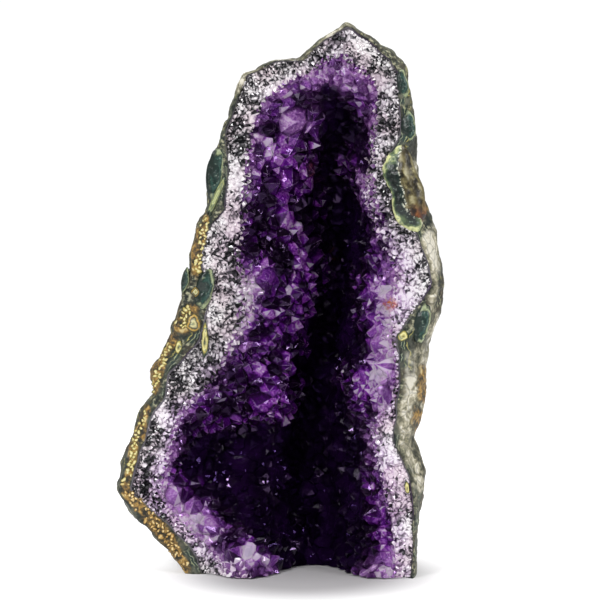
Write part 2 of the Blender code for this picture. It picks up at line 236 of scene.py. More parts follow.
# The outline from the front, clockwise from the peak: x, z, how far the rim's front edge lies
# inside it, the width of the pale quartz band as the solid has it, and the width of the agate
# that shows, in millimetres.
OUTLINE_MM = (
    (22.1, 179.9, 0.6, 13, 0.5), (28, 175.9, 0.8, 13, 0.8), (37.4, 170, 1, 12, 2),
    (41, 166.4, 1, 11, 3), (42.3, 156.6, 1, 8, 3.6), (44.6, 144.9, 1.5, 7, 4), (45, 132.4, 8, 4, 3),
    (47.6, 120.3, 7, 4, 3.5), (51.5, 111.5, 5, 6, 2.5), (52.8, 101.7, 2.5, 8, 2.5),
    (54.1, 94.2, 2, 12, 3), (52.8, 85, 4, 10, 5), (50.2, 75.9, 7, 4, 5), (47.6, 68.3, 6, 3, 3),
    (48.2, 61.8, 7, 2, 2.5), (46.6, 50, 7, 3, 2), (44.3, 43.2, 5, 5, 2.5), (48.2, 32, 4.5, 6, 1.6),
    (45.9, 21.3, 1.4, 4, 1), (44.6, 4.3, 0.8, 4, 0.9), (43.3, -8.8, 1, 5, 1.5),
    (38.7, -26.8, 1, 6, 3.6), (23.1, -41.5, 1, 7, 3.6), (1.8, -43.2, 1, 8, 3.6),
    (-15.5, -31.7, 1, 9, 3.6), (-25, -12.1, 1, 10, 3.6), (-32.4, 1.4, 1, 10, 5.6),
    (-39.3, 8.3, 1, 10, 6.4), (-48, 17.3, 1, 8, 6.4), (-54.1, 27, 1, 12, 4), (-51.8, 36, 2, 12, 3),
    (-46.3, 52.6, 2, 12, 2.5), (-42, 57.9, 1, 14, 3.5), (-42.7, 65.7, 1, 18, 5),
    (-35.8, 77.8, 1, 15, 9), (-32.2, 92.5, 1, 14, 8.5), (-29.9, 101.7, 1, 12, 3),
    (-27.6, 112.2, 1, 9, 2.5), (-23.1, 120.3, 1.5, 5, 4), (-23.1, 135.1, 3, 4, 3.5),
    (-19.5, 142.2, 0.8, 5, 0.9), (-13.6, 158.6, 0.5, 6, 0.4), (-11.6, 163.2, 0.5, 8, 0.4),
    (-1.5, 168.1, 0.5, 8, 0.4), (7, 167.8, 0.5, 5, 0.4), (12.6, 173.3, 0.5, 9, 0.4),
)

# Where the quartz turns violet, from the top: z, and the x where it starts on the left and
# ends on the right, in millimetres.
VIOLET_MM = (
    (170, 18, 18), (165, 12.6, 23.7), (159.6, 1.8, 32.2), (153, -5.7, 31.5), (141.6, -9.6, 28.8),
    (128.5, -11.3, 26.8), (115.4, -12.9, 31.5), (102.4, -14, 37.5), (96, -10.5, 38), (89.3, -9, 36.8),
    (82.7, -10, 35.5), (76.2, -13.5, 36.8), (69.7, -18.8, 39.4), (60.8, -20.4, 39.4), (54, -31.9, 32),
    (43.5, -34.5, 29.5), (33.7, -37.4, 33), (25.8, -38.4, 34.5), (19, -35.2, 36), (9.2, -24.4, 37.5),
    (0, -12.9, 38), (-30, 0, 30),
)

# Where the crystals lie in deep shade, from the top: z, and the x where the shade starts on the
# left and ends on the right, in millimetres.
GLOOM_MM = (
    (163, 22, 9), (158, 12, 19), (150, 12.6, 27), (146, 11.3, 28.9), (138, 10.6, 21.4),
    (126.5, 12.2, 21.4), (122.6, 14.2, 24.7), (114.8, 14.8, 30.2), (104, 15, 32.9), (95, 16, 26.3),
    (87.3, 11, 28.3), (79.5, 9.5, 29.6), (71.6, 10.5, 29.6), (61.8, 5.1, 21.4), (48, 2.8, 27),
    (43.5, -32.5, 28), (32.4, -33.8, 29.6), (24.5, -28.6, 30.9), (16.7, -17.5, 30.2),
    (12.8, -8.5, 32.2), (4.9, -1, 30.6), (0, 1.5, 25.3),
)

# The crack in the hollow, from the top: z, x and half width in millimetres.
SLOT_MM = (
    (164, 26, 4), (150, 22, 8), (134, 19, 7), (112, 23, 12), (93, 20, 7), (76, 17, 9), (60, 13, 7),
    (40, 11, 10), (0, 11, 12),
)

# Crystals that stand out in the hollow: x, z and size in millimetres, and how tall they are
# for their size.
NOTED_CRYSTALS = (
    (5.7, 148.1, 8, 0.6), (1.8, 117, 5, 1.3), (-4.7, 95.8, 5, 1.4), (-6.4, 53.3, 5, 1.4),
    (-34.6, 24.8, 5.8, 1.2), (-28.6, 21.8, 5, 1.2), (-23, 15.5, 5.6, 1.2), (-15.5, 8, 6, 1.2),
    (33.9, 68.4, 5.4, 1.2), (31.5, 75.5, 5.4, 1.2), (35, 58.5, 5.4, 1.2), (33, 44, 5.5, 1.2),
    (29, 20, 5, 1.3), (4, 128, 6.5, 1), (11, 106, 6.5, 1.1),
)

# Patches with a colour of their own, and patches of painted light (LIT_MM) and painted shade (SHADE_MM): x,
# z, and half width in x and z, in millimetres.
OCHRE_MM = (
    (-48.5, 37, 1.6, 6), (-45, 48, 1.6, 5), (-41, 66, 3, 8), (-36, 76, 3, 3), (-31, 83, 3, 4),
    (-27, 106, 2, 9), (47.5, 61, 3.4, 8), (46, 49, 3, 8), (46, 119, 3, 4),
)
CREAM_MM = (
    (49, 106, 4, 9), (43, 66, 5, 9), (49, 113, 4, 5), (-12, 161, 9, 6), (16, 176, 9, 6),
)
GREY_MM = (
    (49, 107, 4, 8), (45, 50, 7, 24), (49, 97, 3, 8), (44, 126, 4, 9), (-12, 161, 8, 6),
    (3, 169, 10, 3), (17, 177, 8, 5), (50, 80, 2, 8),
)
# Painted light: where the crystals are painted brighter, as if they caught more light.
LIT_MM = (
    (35, 82, 9, 18), (33, 63, 9, 11), (-34, 24, 7, 8), (-26, 15, 10, 9), (-11, 6, 13, 8),
    (34, 8, 6, 12), (-9, 92, 9, 7), (-12, 81, 5, 5), (3, 92, 4, 6), (-2.5, 138, 4, 7), (23, 157, 5, 4),
)
# Painted shade: where the crystals are painted darker, as shaded pockets.
SHADE_MM = (
    (-17.5, 54, 5, 5), (-14, 63, 6, 3), (-5, 117, 4, 7), (-2.5, 66.5, 3, 4), (36, 14, 3, 4),
    (36.5, 113, 4, 8),
)
MILKY_MM = (
    (-15, 2, 13, 4.5), (-10, 139, 3, 8), (-10, 92.5, 4, 4), (-31, 17, 7, 5), (-21, 11, 6, 4),
    (31, 2, 6, 4), (35, 42, 5, 6), (37.5, 89.5, 5, 3.5), (36, 74, 4, 6), (35, 64, 3, 5),
    (38, 82, 3, 12), (17, 160, 9, 5), (5.7, 148.1, 4.5, 4.5),
)
RUST_MM = (
    (5.7, 138.3, 2.4, 2.2), (11.6, 129.2, 1.8, 2.4), (1.1, 156.3, 1.6, 1.4), (35.8, 88.6, 3, 2),
    (19, 102.4, 1.4, 1.2),
)
WHITE_MM = (
    (-32, 48, 6, 7), (-35, 38, 4, 8), (33, 159, 5, 4), (41, 100, 6, 8), (39, 42, 4, 7),
    (-24, 104, 4, 6), (-23, 85, 4, 5), (38, 68, 3, 12), (0, 161, 10, 4), (41, 12, 3, 14),
    (-17, 3, 5, 3), (39, 87, 6, 14), (37, 42, 6, 8), (40, 32, 5, 8), (39, 8, 5, 12), (-16, 125, 4, 11),
    (42, 38, 4, 8), (45, 92, 5, 9), (-24, 7, 5, 4), (-33, 20, 4, 4), (22, 172, 8, 6), (-38, 53, 4, 6),
    (36, 40, 5, 4), (41, 5, 4, 5),
)
DARK_MM = (
    (-27, 62, 9, 5), (-43, 37, 2.5, 8), (-41, 47, 2, 5), (-43.5, 34, 3, 4), (-45, 27, 2.5, 3),
    (-38, 17, 3, 4), (-29, 6, 3, 4), (-18, 147, 3, 7), (-22.5, 86, 4, 4), (-23.5, 94, 4, 5),
    (-29, 66, 5, 7), (29.5, 164, 4, 4), (3.5, 165, 4, 3), (36.5, 116, 4, 9), (36, 132, 5, 12),
    (14, 171, 6, 4),
)

# Rows of ochre beads on the edge: from x and z, to x and z, and half the row's width, in
# millimetres.
BEADS_MM = (
    (-50.2, 26.6, -43.2, 18.9, 1.5), (-43.2, 18.9, -36.3, 10.9, 2), (-36.3, 10.9, -31, 1.5, 1.6),
    (-50.6, 28.8, -48, 37.1, 0.9), (-48, 37.1, -46.8, 45.6, 0.9), (-46.8, 45.6, -43.3, 53.5, 0.9),
    (-41.5, 59.5, -36.5, 75, 1.1), (-32.5, 81, -28.5, 86, 2), (-27, 99, -24, 116, 0.8),
)


# How far round towards the back the wall's inner rings lie, in degrees.
INNER_RINGS = (80, 70, 60, 48, 36, 24, 12)


@dataclass(frozen=True)
class GeodeForm:
    """The sizes of the geode's form, as the solid model has them, in metres."""

    axis: tuple = (16 * MM, 76 * MM)
    spine: tuple = ((6 * MM, 32 * MM), (24 * MM, 140 * MM))
    front_foot: float = -35.2 * MM
    front_peak: float = -24.2 * MM
    left_turn: float = 10 * MM
    left_turn_from: float = -4 * MM
    left_turn_to: float = -42 * MM
    rim_wave: float = 1.4 * MM
    rim_wave_from: float = 30 * MM
    lobe: tuple = (46 * MM, 125 * MM, 12 * MM, 13 * MM)
    lobe_rise: float = 4 * MM
    back: float = 35.6 * MM
    top: float = 180 * MM
    skin_bulge: float = 6 * MM
    skin_bulge_per_skin: float = 0.8
    band_slope: float = 0.35
    rock_rim: float = 3.6 * MM
    rock_back: float = 6.5 * MM
    joint_gap: float = 0.4 * MM
    back_lump: float = 2.6 * MM
    lump_length: float = 30 * MM
    softening: float = 40 * MM
    bowl_depth: float = 20 * MM
    bowl_power: float = 1.7
    slot_depth: float = 22 * MM
    slot_top: tuple = (136 * MM, 168 * MM)
    pit: tuple = (-17 * MM, 39 * MM, 15 * MM, 9 * MM)
    pit_depth: float = 11 * MM
    clump_rise: float = 2.2 * MM
    clump_length: float = 15 * MM
    ridge: tuple = (0.0, 72 * MM, 13 * MM, 24 * MM)
    ridge_rise: float = 5 * MM
    left_foot: tuple = (-10 * MM, 0.0, 13 * MM, 24 * MM)
    left_foot_rise: float = 11 * MM
    right_foot: tuple = (30 * MM, 0.0, 8 * MM, 24 * MM)
    right_foot_rise: float = 6 * MM


def raised(plan: Array, y: Array) -> Array:
    """Points from a plan, with x and z on its last axis, and from y."""
    return np.stack([plan[..., 0], y, plan[..., 1]], axis=-1)


class Wall:
    """The rock wall's outline and the surfaces that follow it."""

    def __init__(self, form: GeodeForm, step: float) -> None:
        """Samples the outline and works out what the rings need.

        Args:
            form: The geode's sizes.
            step: The spacing of the samples along the outline.
        """
        self.form, self.axis = form, np.array(form.axis)
        samples = self._samples(step)
        self.plan = samples[:, :2]
        self.skin, self.band, self.rind = samples[:, 2:5].T
        self.count = len(samples)
        low, high = np.array(form.spine)
        along = (self.plan - low) @ (high - low) / ((high - low) @ (high - low))
        self.inward = unit(low + (high - low) * along.clip(0, 1)[:, None] - self.plan)
        self.soft = running_mean(self.plan, max(1, round(form.softening / step)))
        self.front = self._front()
        self.widest = self.front + form.skin_bulge + form.skin_bulge_per_skin * self.skin
        self.power = 2 / (2.0 + 0.4 * unit(self.plan - self.axis)[:, 0])

    def _samples(self, step: float) -> Array:
        """The outline cut into stretches of about step, with the raggedness of broken rock."""
        rows = np.array(OUTLINE_MM) * MM
        pieces = []
        for start, end in zip(rows, np.roll(rows, -1, axis=0)):
            count = max(1, round(float(np.hypot(*(end - start)[:2])) / step))
            pieces.append(start + (end - start) * (np.arange(count)[:, None] / count))
        samples = np.concatenate(pieces)
        for _ in range(3):
            samples = (np.roll(samples, 1, axis=0) + 2 * samples + np.roll(samples, -1, axis=0)) / 4
        chips = 0.5 * MM * cloud(raised(samples, 0 * samples[:, 0]), 5 * MM, 11, 2)
        samples[:, :2] += unit(samples[:, :2] - self.axis) * (chips - 0.2 * MM)[:, None]
        return samples

    def _front(self) -> Array:
        """How far forward the rim's front edge stands at each sample."""
        form, (x, z) = self.form, self.plan.T
        slope = form.front_foot + (form.front_peak - form.front_foot) * z / form.top
        turned = form.left_turn * (1 - smoothstep(form.left_turn_to, form.left_turn_from, x))
        wave = lumps(x, 0, z, form.lump_length) * smoothstep(0, form.rim_wave_from, z)
        return slope + turned + form.rim_wave * wave - form.lobe_rise * bump(x, z, form.lobe)

    def inset(self, distance: Array) -> Array:
        """The outline moved in by a distance."""
        return self.plan + self.inward * distance[:, None]

    def nearest(self, x: Array, z: Array) -> Array:
        """The sample of the outline that lies nearest to each place."""
        gap = np.hypot(self.plan[:, 0] - x[..., None], self.plan[:, 1] - z[..., None])
        return gap.argmin(axis=-1)

    def dome(self, angles: Sequence[float], depth_rim: float, depth_back: float) -> Array:
        """The wall behind its widest ring.

        Args:
            angles: How far round towards the back each ring lies, in degrees from 0 to 90.
            depth_rim: How far inside the outer surface it lies at the widest ring.
            depth_back: The same at the back.

        Returns:
            Rings of points that close on the axis as a superellipse: the plan shrinks with a
            power of the angle's cosine while y grows with the same power of its sine.
        """
        form, found = self.form, []
        for degrees in angles:
            ahead, behind = math.cos(math.radians(degrees)), math.sin(math.radians(degrees))
            soft = self.plan + (self.soft - self.plan) * smoothstep(5, 60, degrees)
            plan = self.axis + (soft - self.axis) * (ahead ** self.power)[:, None]
            y = self.widest + (form.back - self.widest) * behind ** self.power
            swell = form.back_lump * smoothstep(0, 50, degrees)
            swell = swell * lumps(plan[:, 0], y, plan[:, 1], form.lump_length)
            depth = depth_rim + (depth_back - depth_rim) * behind - swell
            found.append(raised(plan + self.inward * (depth * ahead)[:, None], y - depth * behind))
        return np.array(found)


class OpenFace:
    """The open face of the quartz: the pale band along the rim and the hollow inside it.

    A point has a place, counted in samples round the rim, and a share, which runs from 0 in the
    middle of the hollow to 1 at its edge and on to 2 at the agate.
    """

    def __init__(self, wall: Wall) -> None:
        """Works out the curves that bound the band, and softer ones for the hollow's depths."""
        self.wall, self.form, self.count, self.axis = wall, wall.form, wall.count, wall.axis
        start = wall.skin + wall.form.rock_rim + wall.form.joint_gap
        self.rim = wall.inset(wall.skin + wall.rind)
        self.edge = running_mean(wall.inset(start + wall.band), 18)
        self.soft_edge = running_mean(self.edge, 60)
        self.front = running_mean(wall.front, 2)
        self.width = np.linalg.norm(self.rim - self.edge, axis=1)
        self.brim = self.front + wall.form.band_slope * running_mean(wall.band, 12)
        self.soft_brim = running_mean(self.brim, 60)
        middle = (self.rim + self.edge) / 2
        steps = np.linalg.norm(np.roll(middle, -1, axis=0) - middle, axis=1)
        self.length = steps.sum()
        self.run = -np.concatenate([[0], np.cumsum(steps)]) / self.length * 2 * math.pi
        away = self.soft_edge * 0.3 + self.edge * 0.7 - self.axis
        polar = np.unwrap(np.arctan2(away[:, 1], away[:, 0]))
        polar = np.minimum.accumulate(np.append(polar, polar[0] - 2 * math.pi))
        polar[-1] = polar[0] - 2 * math.pi
        self.angle = 0.8 * np.maximum(polar, polar[-1]) + 0.2 * (polar[0] + self.run)
        self.turn = self._turn()

    def around(self, values: Array, place: Array) -> Array:
        """A value of the rim's samples read at any place between them."""
        return np.interp(place % self.count, np.arange(self.count + 1), np.append(values, values[0]))

    def depth(self, x: Array, z: Array, share: Array) -> Array:
        """How far the hollow goes in behind its edge: a bowl with a crack, a pit and a ridge."""
        form = self.form
        bowl = form.bowl_depth * (1 - np.abs(share) ** form.bowl_power)
        height, middle, half = np.array(SLOT_MM[::-1]).T * MM
        across = (x - np.interp(z, height, middle)) / np.interp(z, height, half)
        slot = form.slot_depth * np.exp(-(np.abs(across) ** 3)) * (1 - smoothstep(*form.slot_top, z))
        pit = form.pit_depth * bump(x, z, form.pit)
        ridge = form.ridge_rise * bump(x, z, form.ridge)
        left = form.left_foot_rise * bump(x, z, form.left_foot)
        right = form.right_foot_rise * bump(x, z, form.right_foot)
        place = np.stack([x, 0 * x, z], axis=-1)
        clumps = form.clump_rise * cloud(place, form.clump_length, 61, 2)
        return bowl + (slot + pit - ridge - clumps) * (1 - share**4) - (left + right)

    def points(self, place: Array, share: Array) -> Array:
        """Points of the face, with x, y and z on the last axis."""
        inside = np.minimum(share, 1)
        outside = np.maximum(share, 1) - 1
        crisp = smoothstep(0.3, 1.0, inside)
        x, z = (
            self.axis[i]
            + self.around(self.soft_edge[:, i] - self.axis[i], place) * inside * (1 - crisp)
            + self.around(self.edge[:, i] - self.axis[i], place) * inside * crisp
            + self.around(self.rim[:, i] - self.edge[:, i], place) * outside
            for i in (0, 1)
        )
        middle = self.soft_brim.mean()
        soft = middle + (self.around(self.soft_brim, place) - middle) * smoothstep(0, 0.4, inside)
        brim = soft * (1 - crisp) + self.around(self.brim, place) * crisp
        inner = brim + self.depth(x, z, inside)
        return np.stack([x, inner + (self.around(self.front, place) - inner) * outside, z], axis=-1)

    def normals(self, place: Array, share: Array) -> Array:
        """The directions that point out of the quartz, from central differences."""
        around = self.points(place + 0.6, share) - self.points(place - 0.6, share)
        outward = self.points(place, share + 0.012) - self.points(place, share - 0.012)
        normal = -unit(np.cross(around, outward))
        return np.where(normal[..., 1:2] > 0, -normal, normal)

    def _turn(self) -> Array:
        """The share at which the quartz turns from violet to pale, for each sample."""
        shares = np.linspace(0.5, 1.9, 71)
        inside = within(self.points(*np.meshgrid(np.arange(self.count), shares)), VIOLET_MM) > 0
        last = shares[len(shares) - 1 - inside[::-1].argmax(axis=0)]
        return running_mean(last.clip(0.85, 1.7), 9)

    def _rolled(self, angles: Array, place: Array, radius: Array) -> Array:
        """Points in a plane, from an angle for each sample of the rim and from a radius."""
        angle = np.interp(place, np.arange(self.count + 1), angles)
        return np.stack([np.cos(angle) * radius, np.sin(angle) * radius], axis=1)

    def disc(self, place: Array, share: Array) -> Array:
        """The face rolled out to a disc, for joining the crystals of the hollow.

        Args:
            place: Places round the rim.
            share: Shares.

        Returns:
            Points in a plane: the angle follows the edge's own angle about the middle, evened
            out so that it never turns back, and the radius is the length along the face.
        """
        length = np.zeros(len(place))
        last = self.points(place, 0 * share)
        for step in np.linspace(0, 1, 41)[1:]:
            here = self.points(place, share * step)
            length += np.linalg.norm(here - last, axis=-1)
            last = here
        return self._rolled(self.angle, place, length)

    def strip(self, place: Array, share: Array) -> Array:
        """The band rolled out to a ring, for joining its grains.

        Args:
            place: Places round the rim.
            share: Shares of 1 and a little less, up to 2.

        Returns:
            Points in a plane: the angle follows the length along the rim, and the radius grows
            by the band's own width.
        """
        inner = np.linalg.norm(self.edge - self.axis, axis=1)
        width = np.where(share > 1, self.around(self.width, place), self.around(inner, place))
        return self._rolled(self.run, place, self.length / (2 * math.pi) + width * (share - 1))


# Beds of crystals

# How far up a crystal its steep foot turns into the flatter faces of its point.
SHOULDER_AT = 0.35


@dataclass(frozen=True)
class BedPlan:
    """How one bed of crystals covers part of the open face."""

    roll: Callable[[Array, Array], Array]  # rolls places and shares out to a plane
    low: Optional[Array]  # the share where it starts at each sample, or none to fill the middle
    high: Array  # the share where it ends at each sample
    size: Callable[[Array], Array]  # spacing from tip to tip, from points
    rise: float  # how far tips stand out, for each unit of spacing
    tallest: float  # the most that a tip stands out
    sink: float  # how far valleys lie in, for each unit of spacing
    lean: float  # how far tips move sideways, for each unit of spacing
    shoulder: float  # how far the crystals' shoulders bulge, for each unit of spacing
    dive: float  # how deep its border lies
    spread: float  # how much neighbouring sizes differ
    candidates: int
    seed: int
    chosen: tuple = ()  # crystals of its own choice: x, z, size and rise over the usual


def spread_out(points: Array, size: Array, nearest: Array) -> Array:
    """Picks points that keep their distance: each next one fills the widest free spot.

    Args:
        points: The places to pick from.
        size: How far from the others each place wants to be.
        nearest: How far each place is from what is there already, over its size.

    Returns:
        The chosen indices. It stops once no place is further away than its size.
    """
    chosen = []
    points, size, nearest = (values.astype(np.float32) for values in (points, size, nearest))
    while True:
        best = int(nearest.argmax())
        if nearest[best] <= 1:
            return np.array(chosen)
        chosen.append(best)
        gap = points - points[best]
        np.minimum(nearest, np.sqrt(dot(gap, gap)) / size, out=nearest)


class Bed:
    """Crystals that cover a ring-shaped or round part of the face and meet in valleys.

    Seats are spread over the face and joined into triangles. Each seat rises to a tip, the
    middle of each triangle sinks to a valley, nearer to the smaller of its crystals, and the
    crystals' faces run from the tips over a shoulder to the valleys.
    """

    def __init__(self, face: OpenFace, plan: BedPlan) -> None:
        """Chooses the seats and joins them.

        Args:
            face: The face that they grow on.
            plan: The bed's sizes.
        """
        self.face, self.plan = face, plan
        self.rng = np.random.default_rng(plan.seed)
        rings = [plan.high] if plan.low is None else [plan.high, plan.low]
        place = np.arange(0.0, face.count, 2)
        share = np.concatenate([face.around(shares, place) for shares in rings])
        place = np.tile(place, len(rings))
        self.ring = len(place)
        ring = face.points(place, share)
        own_place, own_share, size, boost, points = self._seats(ring)
        place, share = np.append(place, own_place), np.append(share, own_share)
        self.seat = np.concatenate([ring, points])
        self.size = np.append(np.full(self.ring, size.min()), size)
        self.normal = face.normals(place, share)
        self.triangles = flip_sides(self.seat, self._join(plan.roll(place, share), len(rings)))
        self.chance = np.append(np.full(self.ring, 0.5), self.rng.uniform(0, 1, len(size)))
        height = size * plan.rise * self.rng.uniform(0.6, 1.4, len(size)) * boost
        height = np.minimum(height, plan.tallest)
        lean = self.rng.normal(0, plan.lean, (len(size), 3)).clip(-2 * plan.lean, 2 * plan.lean)
        out = self.normal[self.ring:]
        lean = (lean - dot(lean, out)[:, None] * out) * np.minimum(size, plan.tallest)[:, None]
        self.grown = np.concatenate([0 * ring, out * height[:, None] + lean])

    def _seats(self, ring: Array) -> tuple[Array, ...]:
        """Spreads the seats: places, shares, sizes, how tall each is, and points."""
        plan, face = self.plan, self.face
        place = self.rng.uniform(0, face.count, plan.candidates)
        high = face.around(plan.high, place)
        low = 0.02 if plan.low is None else face.around(plan.low, place)
        share = np.sqrt(low**2 + self.rng.uniform(0, 1, plan.candidates) * (high**2 - low**2))
        points = face.points(place, share)
        keep = points[:, 2] > -8 * MM
        place, share, points = place[keep], share[keep], points[keep]
        size = plan.size(points) * np.exp(self.rng.normal(0, plan.spread, len(points)))
        boost = np.ones(len(points))
        picked = []
        for x, z, wide, tall in np.array(plan.chosen).reshape(-1, 4):
            best = int(np.hypot(points[:, 0] - x * MM, points[:, 2] - z * MM).argmin())
            size[best], boost[best] = wide * MM, tall
            picked.append(best)
        nearest = np.full(len(points), 1e9)
        for start in range(0, len(ring), 64):
            gap = points[:, None] - ring[None, start:start + 64]
            nearest = np.minimum(nearest, np.sqrt(dot(gap, gap)).min(axis=1))
        nearest = nearest / size * 1.6
        for best in picked:
            gap = np.linalg.norm(points - points[best], axis=1)
            nearest = np.minimum(nearest, gap * 2 / (size + size[best]))
        chosen = np.concatenate([np.array(picked, int), spread_out(points, size, nearest)])
        return place[chosen], share[chosen], size[chosen], boost[chosen], points[chosen]

    def _join(self, flat: Array, rings: int) -> Array:
        """Joins the seats into triangles in the plane that they are rolled out to."""
        half = self.ring // rings
        edges = [(half + i, half + (i + 1) % half) for i in range(half)] if rings > 1 else []
        points = [Vector(p) for p in flat / MM]
        found = geometry.delaunay_2d_cdt(points, edges, [list(range(half))], 1, 1e-4)
        source = np.array([first[0] for first in found[3]])
        triangles = source[np.array(found[2])]
        if rings > 1:
            hole = (triangles >= half) & (triangles < 2 * half)
            triangles = triangles[~hole.all(axis=1)]
        return triangles

    def _cut(self, tip: Array, valley: Array, shoulder: Array) -> tuple[Array, Array]:
        """Moves each shoulder along its crystal's axis onto one of the point's six flat faces.

        Args:
            tip: The seats' tips.
            valley: The triangles' valleys.
            shoulder: Three shoulders for each triangle.

        Returns:
            The shoulders, and for each the number of its face, from 0 to 5. The faces of a
            crystal are equally steep, and a shoulder stays between its tip and its valley.
        """
        corner, axis = self.triangles, self.normal[self.triangles]
        away = shoulder - tip[corner]
        fall = -dot(away, axis)
        right = unit(np.cross(axis, (0.3, 0.1, 1.0)))
        across, up = dot(away, right), dot(away, np.cross(axis, right))
        turned = (np.arctan2(up, across) / (2 * math.pi) + 7.7 * self.chance[corner]) * 6
        number = np.floor(turned)
        reach = np.hypot(across, up) * np.cos((turned - number - 0.5) * math.pi / 3)
        total, length = (np.bincount(corner.reshape(-1), part.reshape(-1)) for part in (fall, reach))
        room = -dot(valley[:, None] - tip[corner], axis)
        wanted = np.clip(reach * (total / np.maximum(length, 1e-9))[corner], 0.25 * room, 0.85 * room)
        wanted = np.where(corner < self.ring, fall, wanted)
        return shoulder + axis * (fall - wanted)[..., None], (number % 6).astype(int).reshape(-1)

    def spread(self, values: Array) -> Array:
        """A number of each seat passed on to its mesh: a valley has the mean of its crystals."""
        own = values[self.triangles]
        return np.concatenate([values, own.mean(axis=1), own.reshape(-1), values])

    def solid(self, grown: float, drop: float, root: float) -> tuple[Array, Array, dict]:
        """The bed as a closed mesh.

        Args:
            grown: How much of their full height the tips have.
            drop: How far the whole of it is lowered.
            root: How deep its underside lies below the seats.

        Returns:
            Points, triangles and what its material reads: for each point its crystal's chance
            and how far up it lies, from 0 in a valley to 1 on a tip, for each face a chance
            that a crystal's face has as a whole, and for each corner two numbers, the smaller
            of which falls to 0 along the ridges.
        """
        plan, corner, axis = self.plan, self.triangles, self.normal[self.triangles]
        n, t = len(self.seat), len(corner)
        lowered = np.where(np.arange(n) < self.ring, plan.dive + drop, drop)
        seat = self.seat - self.normal * lowered[:, None]
        tip = seat + self.grown * grown
        weight = 1 / self.size[corner]
        weight = weight / weight.sum(axis=1, keepdims=True)
        depth = plan.sink * self.size[corner].mean(axis=1) * ((corner >= self.ring).sum(axis=1) / 3)
        valley = np.einsum("tc,tcd->td", weight, seat[corner]) - axis.mean(axis=1) * depth[:, None]
        shoulder = valley[:, None] + (tip[corner] - valley[:, None]) * SHOULDER_AT
        out = shoulder - seat[corner]
        bulge = axis * 0.6 + unit(out - dot(out, axis)[..., None] * axis)
        shoulder = shoulder + bulge * (plan.shoulder * self.size[corner])[..., None]
        shoulder, number = self._cut(tip, valley, shoulder)

        points = np.concatenate([tip, valley, shoulder.reshape(-1, 3), seat - self.normal * root])
        low = np.append(np.arange(self.ring), np.arange(self.ring, n) + n + 4 * t)
        faces, side, ridge = bed_faces(corner, n, t, self.ring, number)
        luck = np.random.default_rng(plan.seed + 1).uniform(0, 1, (n, 6))[corner.reshape(-1), number]
        facet = np.where(side < 0, 0.5, luck[side])
        levels = (np.ones(n), np.zeros(t), np.full(3 * t, SHOULDER_AT), np.zeros(n))
        return points, np.concatenate([faces, low[corner[:, ::-1]]]), {
            "point": {"chance": self.spread(self.chance), "tip": np.concatenate(levels)},
            "face": {"facet": np.append(facet, np.full(t, 0.5))},
            "corner": {f"ridge_{i}": np.append(ridge[i].reshape(-1), np.ones(3 * t)) for i in (0, 1)},
        }


def twins(triangles: Array) -> tuple[Array, Array, Array, Array]:
    """Finds the neighbour across each side of each triangle.

    Args:
        triangles: Rows of three vertex indices, all wound the same way.

    Returns:
        For each side in turn its first and second vertex, the number of the same side seen
        from the neighbour, and whether there is one.
    """
    first = triangles.reshape(-1).astype(np.int64)
    second = np.roll(triangles, -1, axis=1).reshape(-1).astype(np.int64)
    count = int(triangles.max()) + 1
    key, back = first * count + second, second * count + first
    order = np.argsort(key)
    match = order[np.searchsorted(key[order], back).clip(0, len(key) - 1)]
    return first, second, match, key[match] == back


def flip_sides(points: Array, triangles: Array, rounds: int = 40) -> Array:
    """Turns the sides of triangles until they are as even as they can be in space.

    Args:
        points: The vertices.
        triangles: Rows of three vertex indices.
        rounds: The most rounds it takes.

    Returns:
        The same surface with other diagonals. A side is turned where the two angles that face
        it add up to more than 180 degrees, the worst first, and each triangle takes part in at
        most one turn in a round.
    """
    triangles = triangles.copy()
    for _ in range(rounds):
        first, second, match, paired = twins(triangles)
        apex = np.roll(triangles, -2, axis=1).reshape(-1)
        ends = points[first] - points[apex], points[second] - points[apex]
        lengths = [np.linalg.norm(end, axis=1) for end in ends]
        angle = np.arccos((dot(*ends) / (lengths[0] * lengths[1])).clip(-1, 1))
        facing = np.where(paired, angle + angle[match], 0)
        own, other = np.arange(len(first)) // 3, match // 3
        worst = np.zeros(len(triangles))
        np.maximum.at(worst, own, facing)
        turn = (facing > math.pi + 0.02) & (facing >= worst[own]) & (facing >= worst[other])
        turn &= (own < other) & ~np.isin(apex * len(points) + apex[match], first * len(points) + second)
        used = np.bincount(np.append(own[turn], other[turn]), minlength=len(triangles))
        turn &= (used[own] == 1) & (used[other] == 1)
        if not turn.any():
            break
        side = np.flatnonzero(turn)
        near, far = apex[side], apex[match[side]]
        triangles[own[side]] = np.stack([near, first[side], far], axis=1)
        triangles[other[side]] = np.stack([far, second[side], near], axis=1)
    return triangles


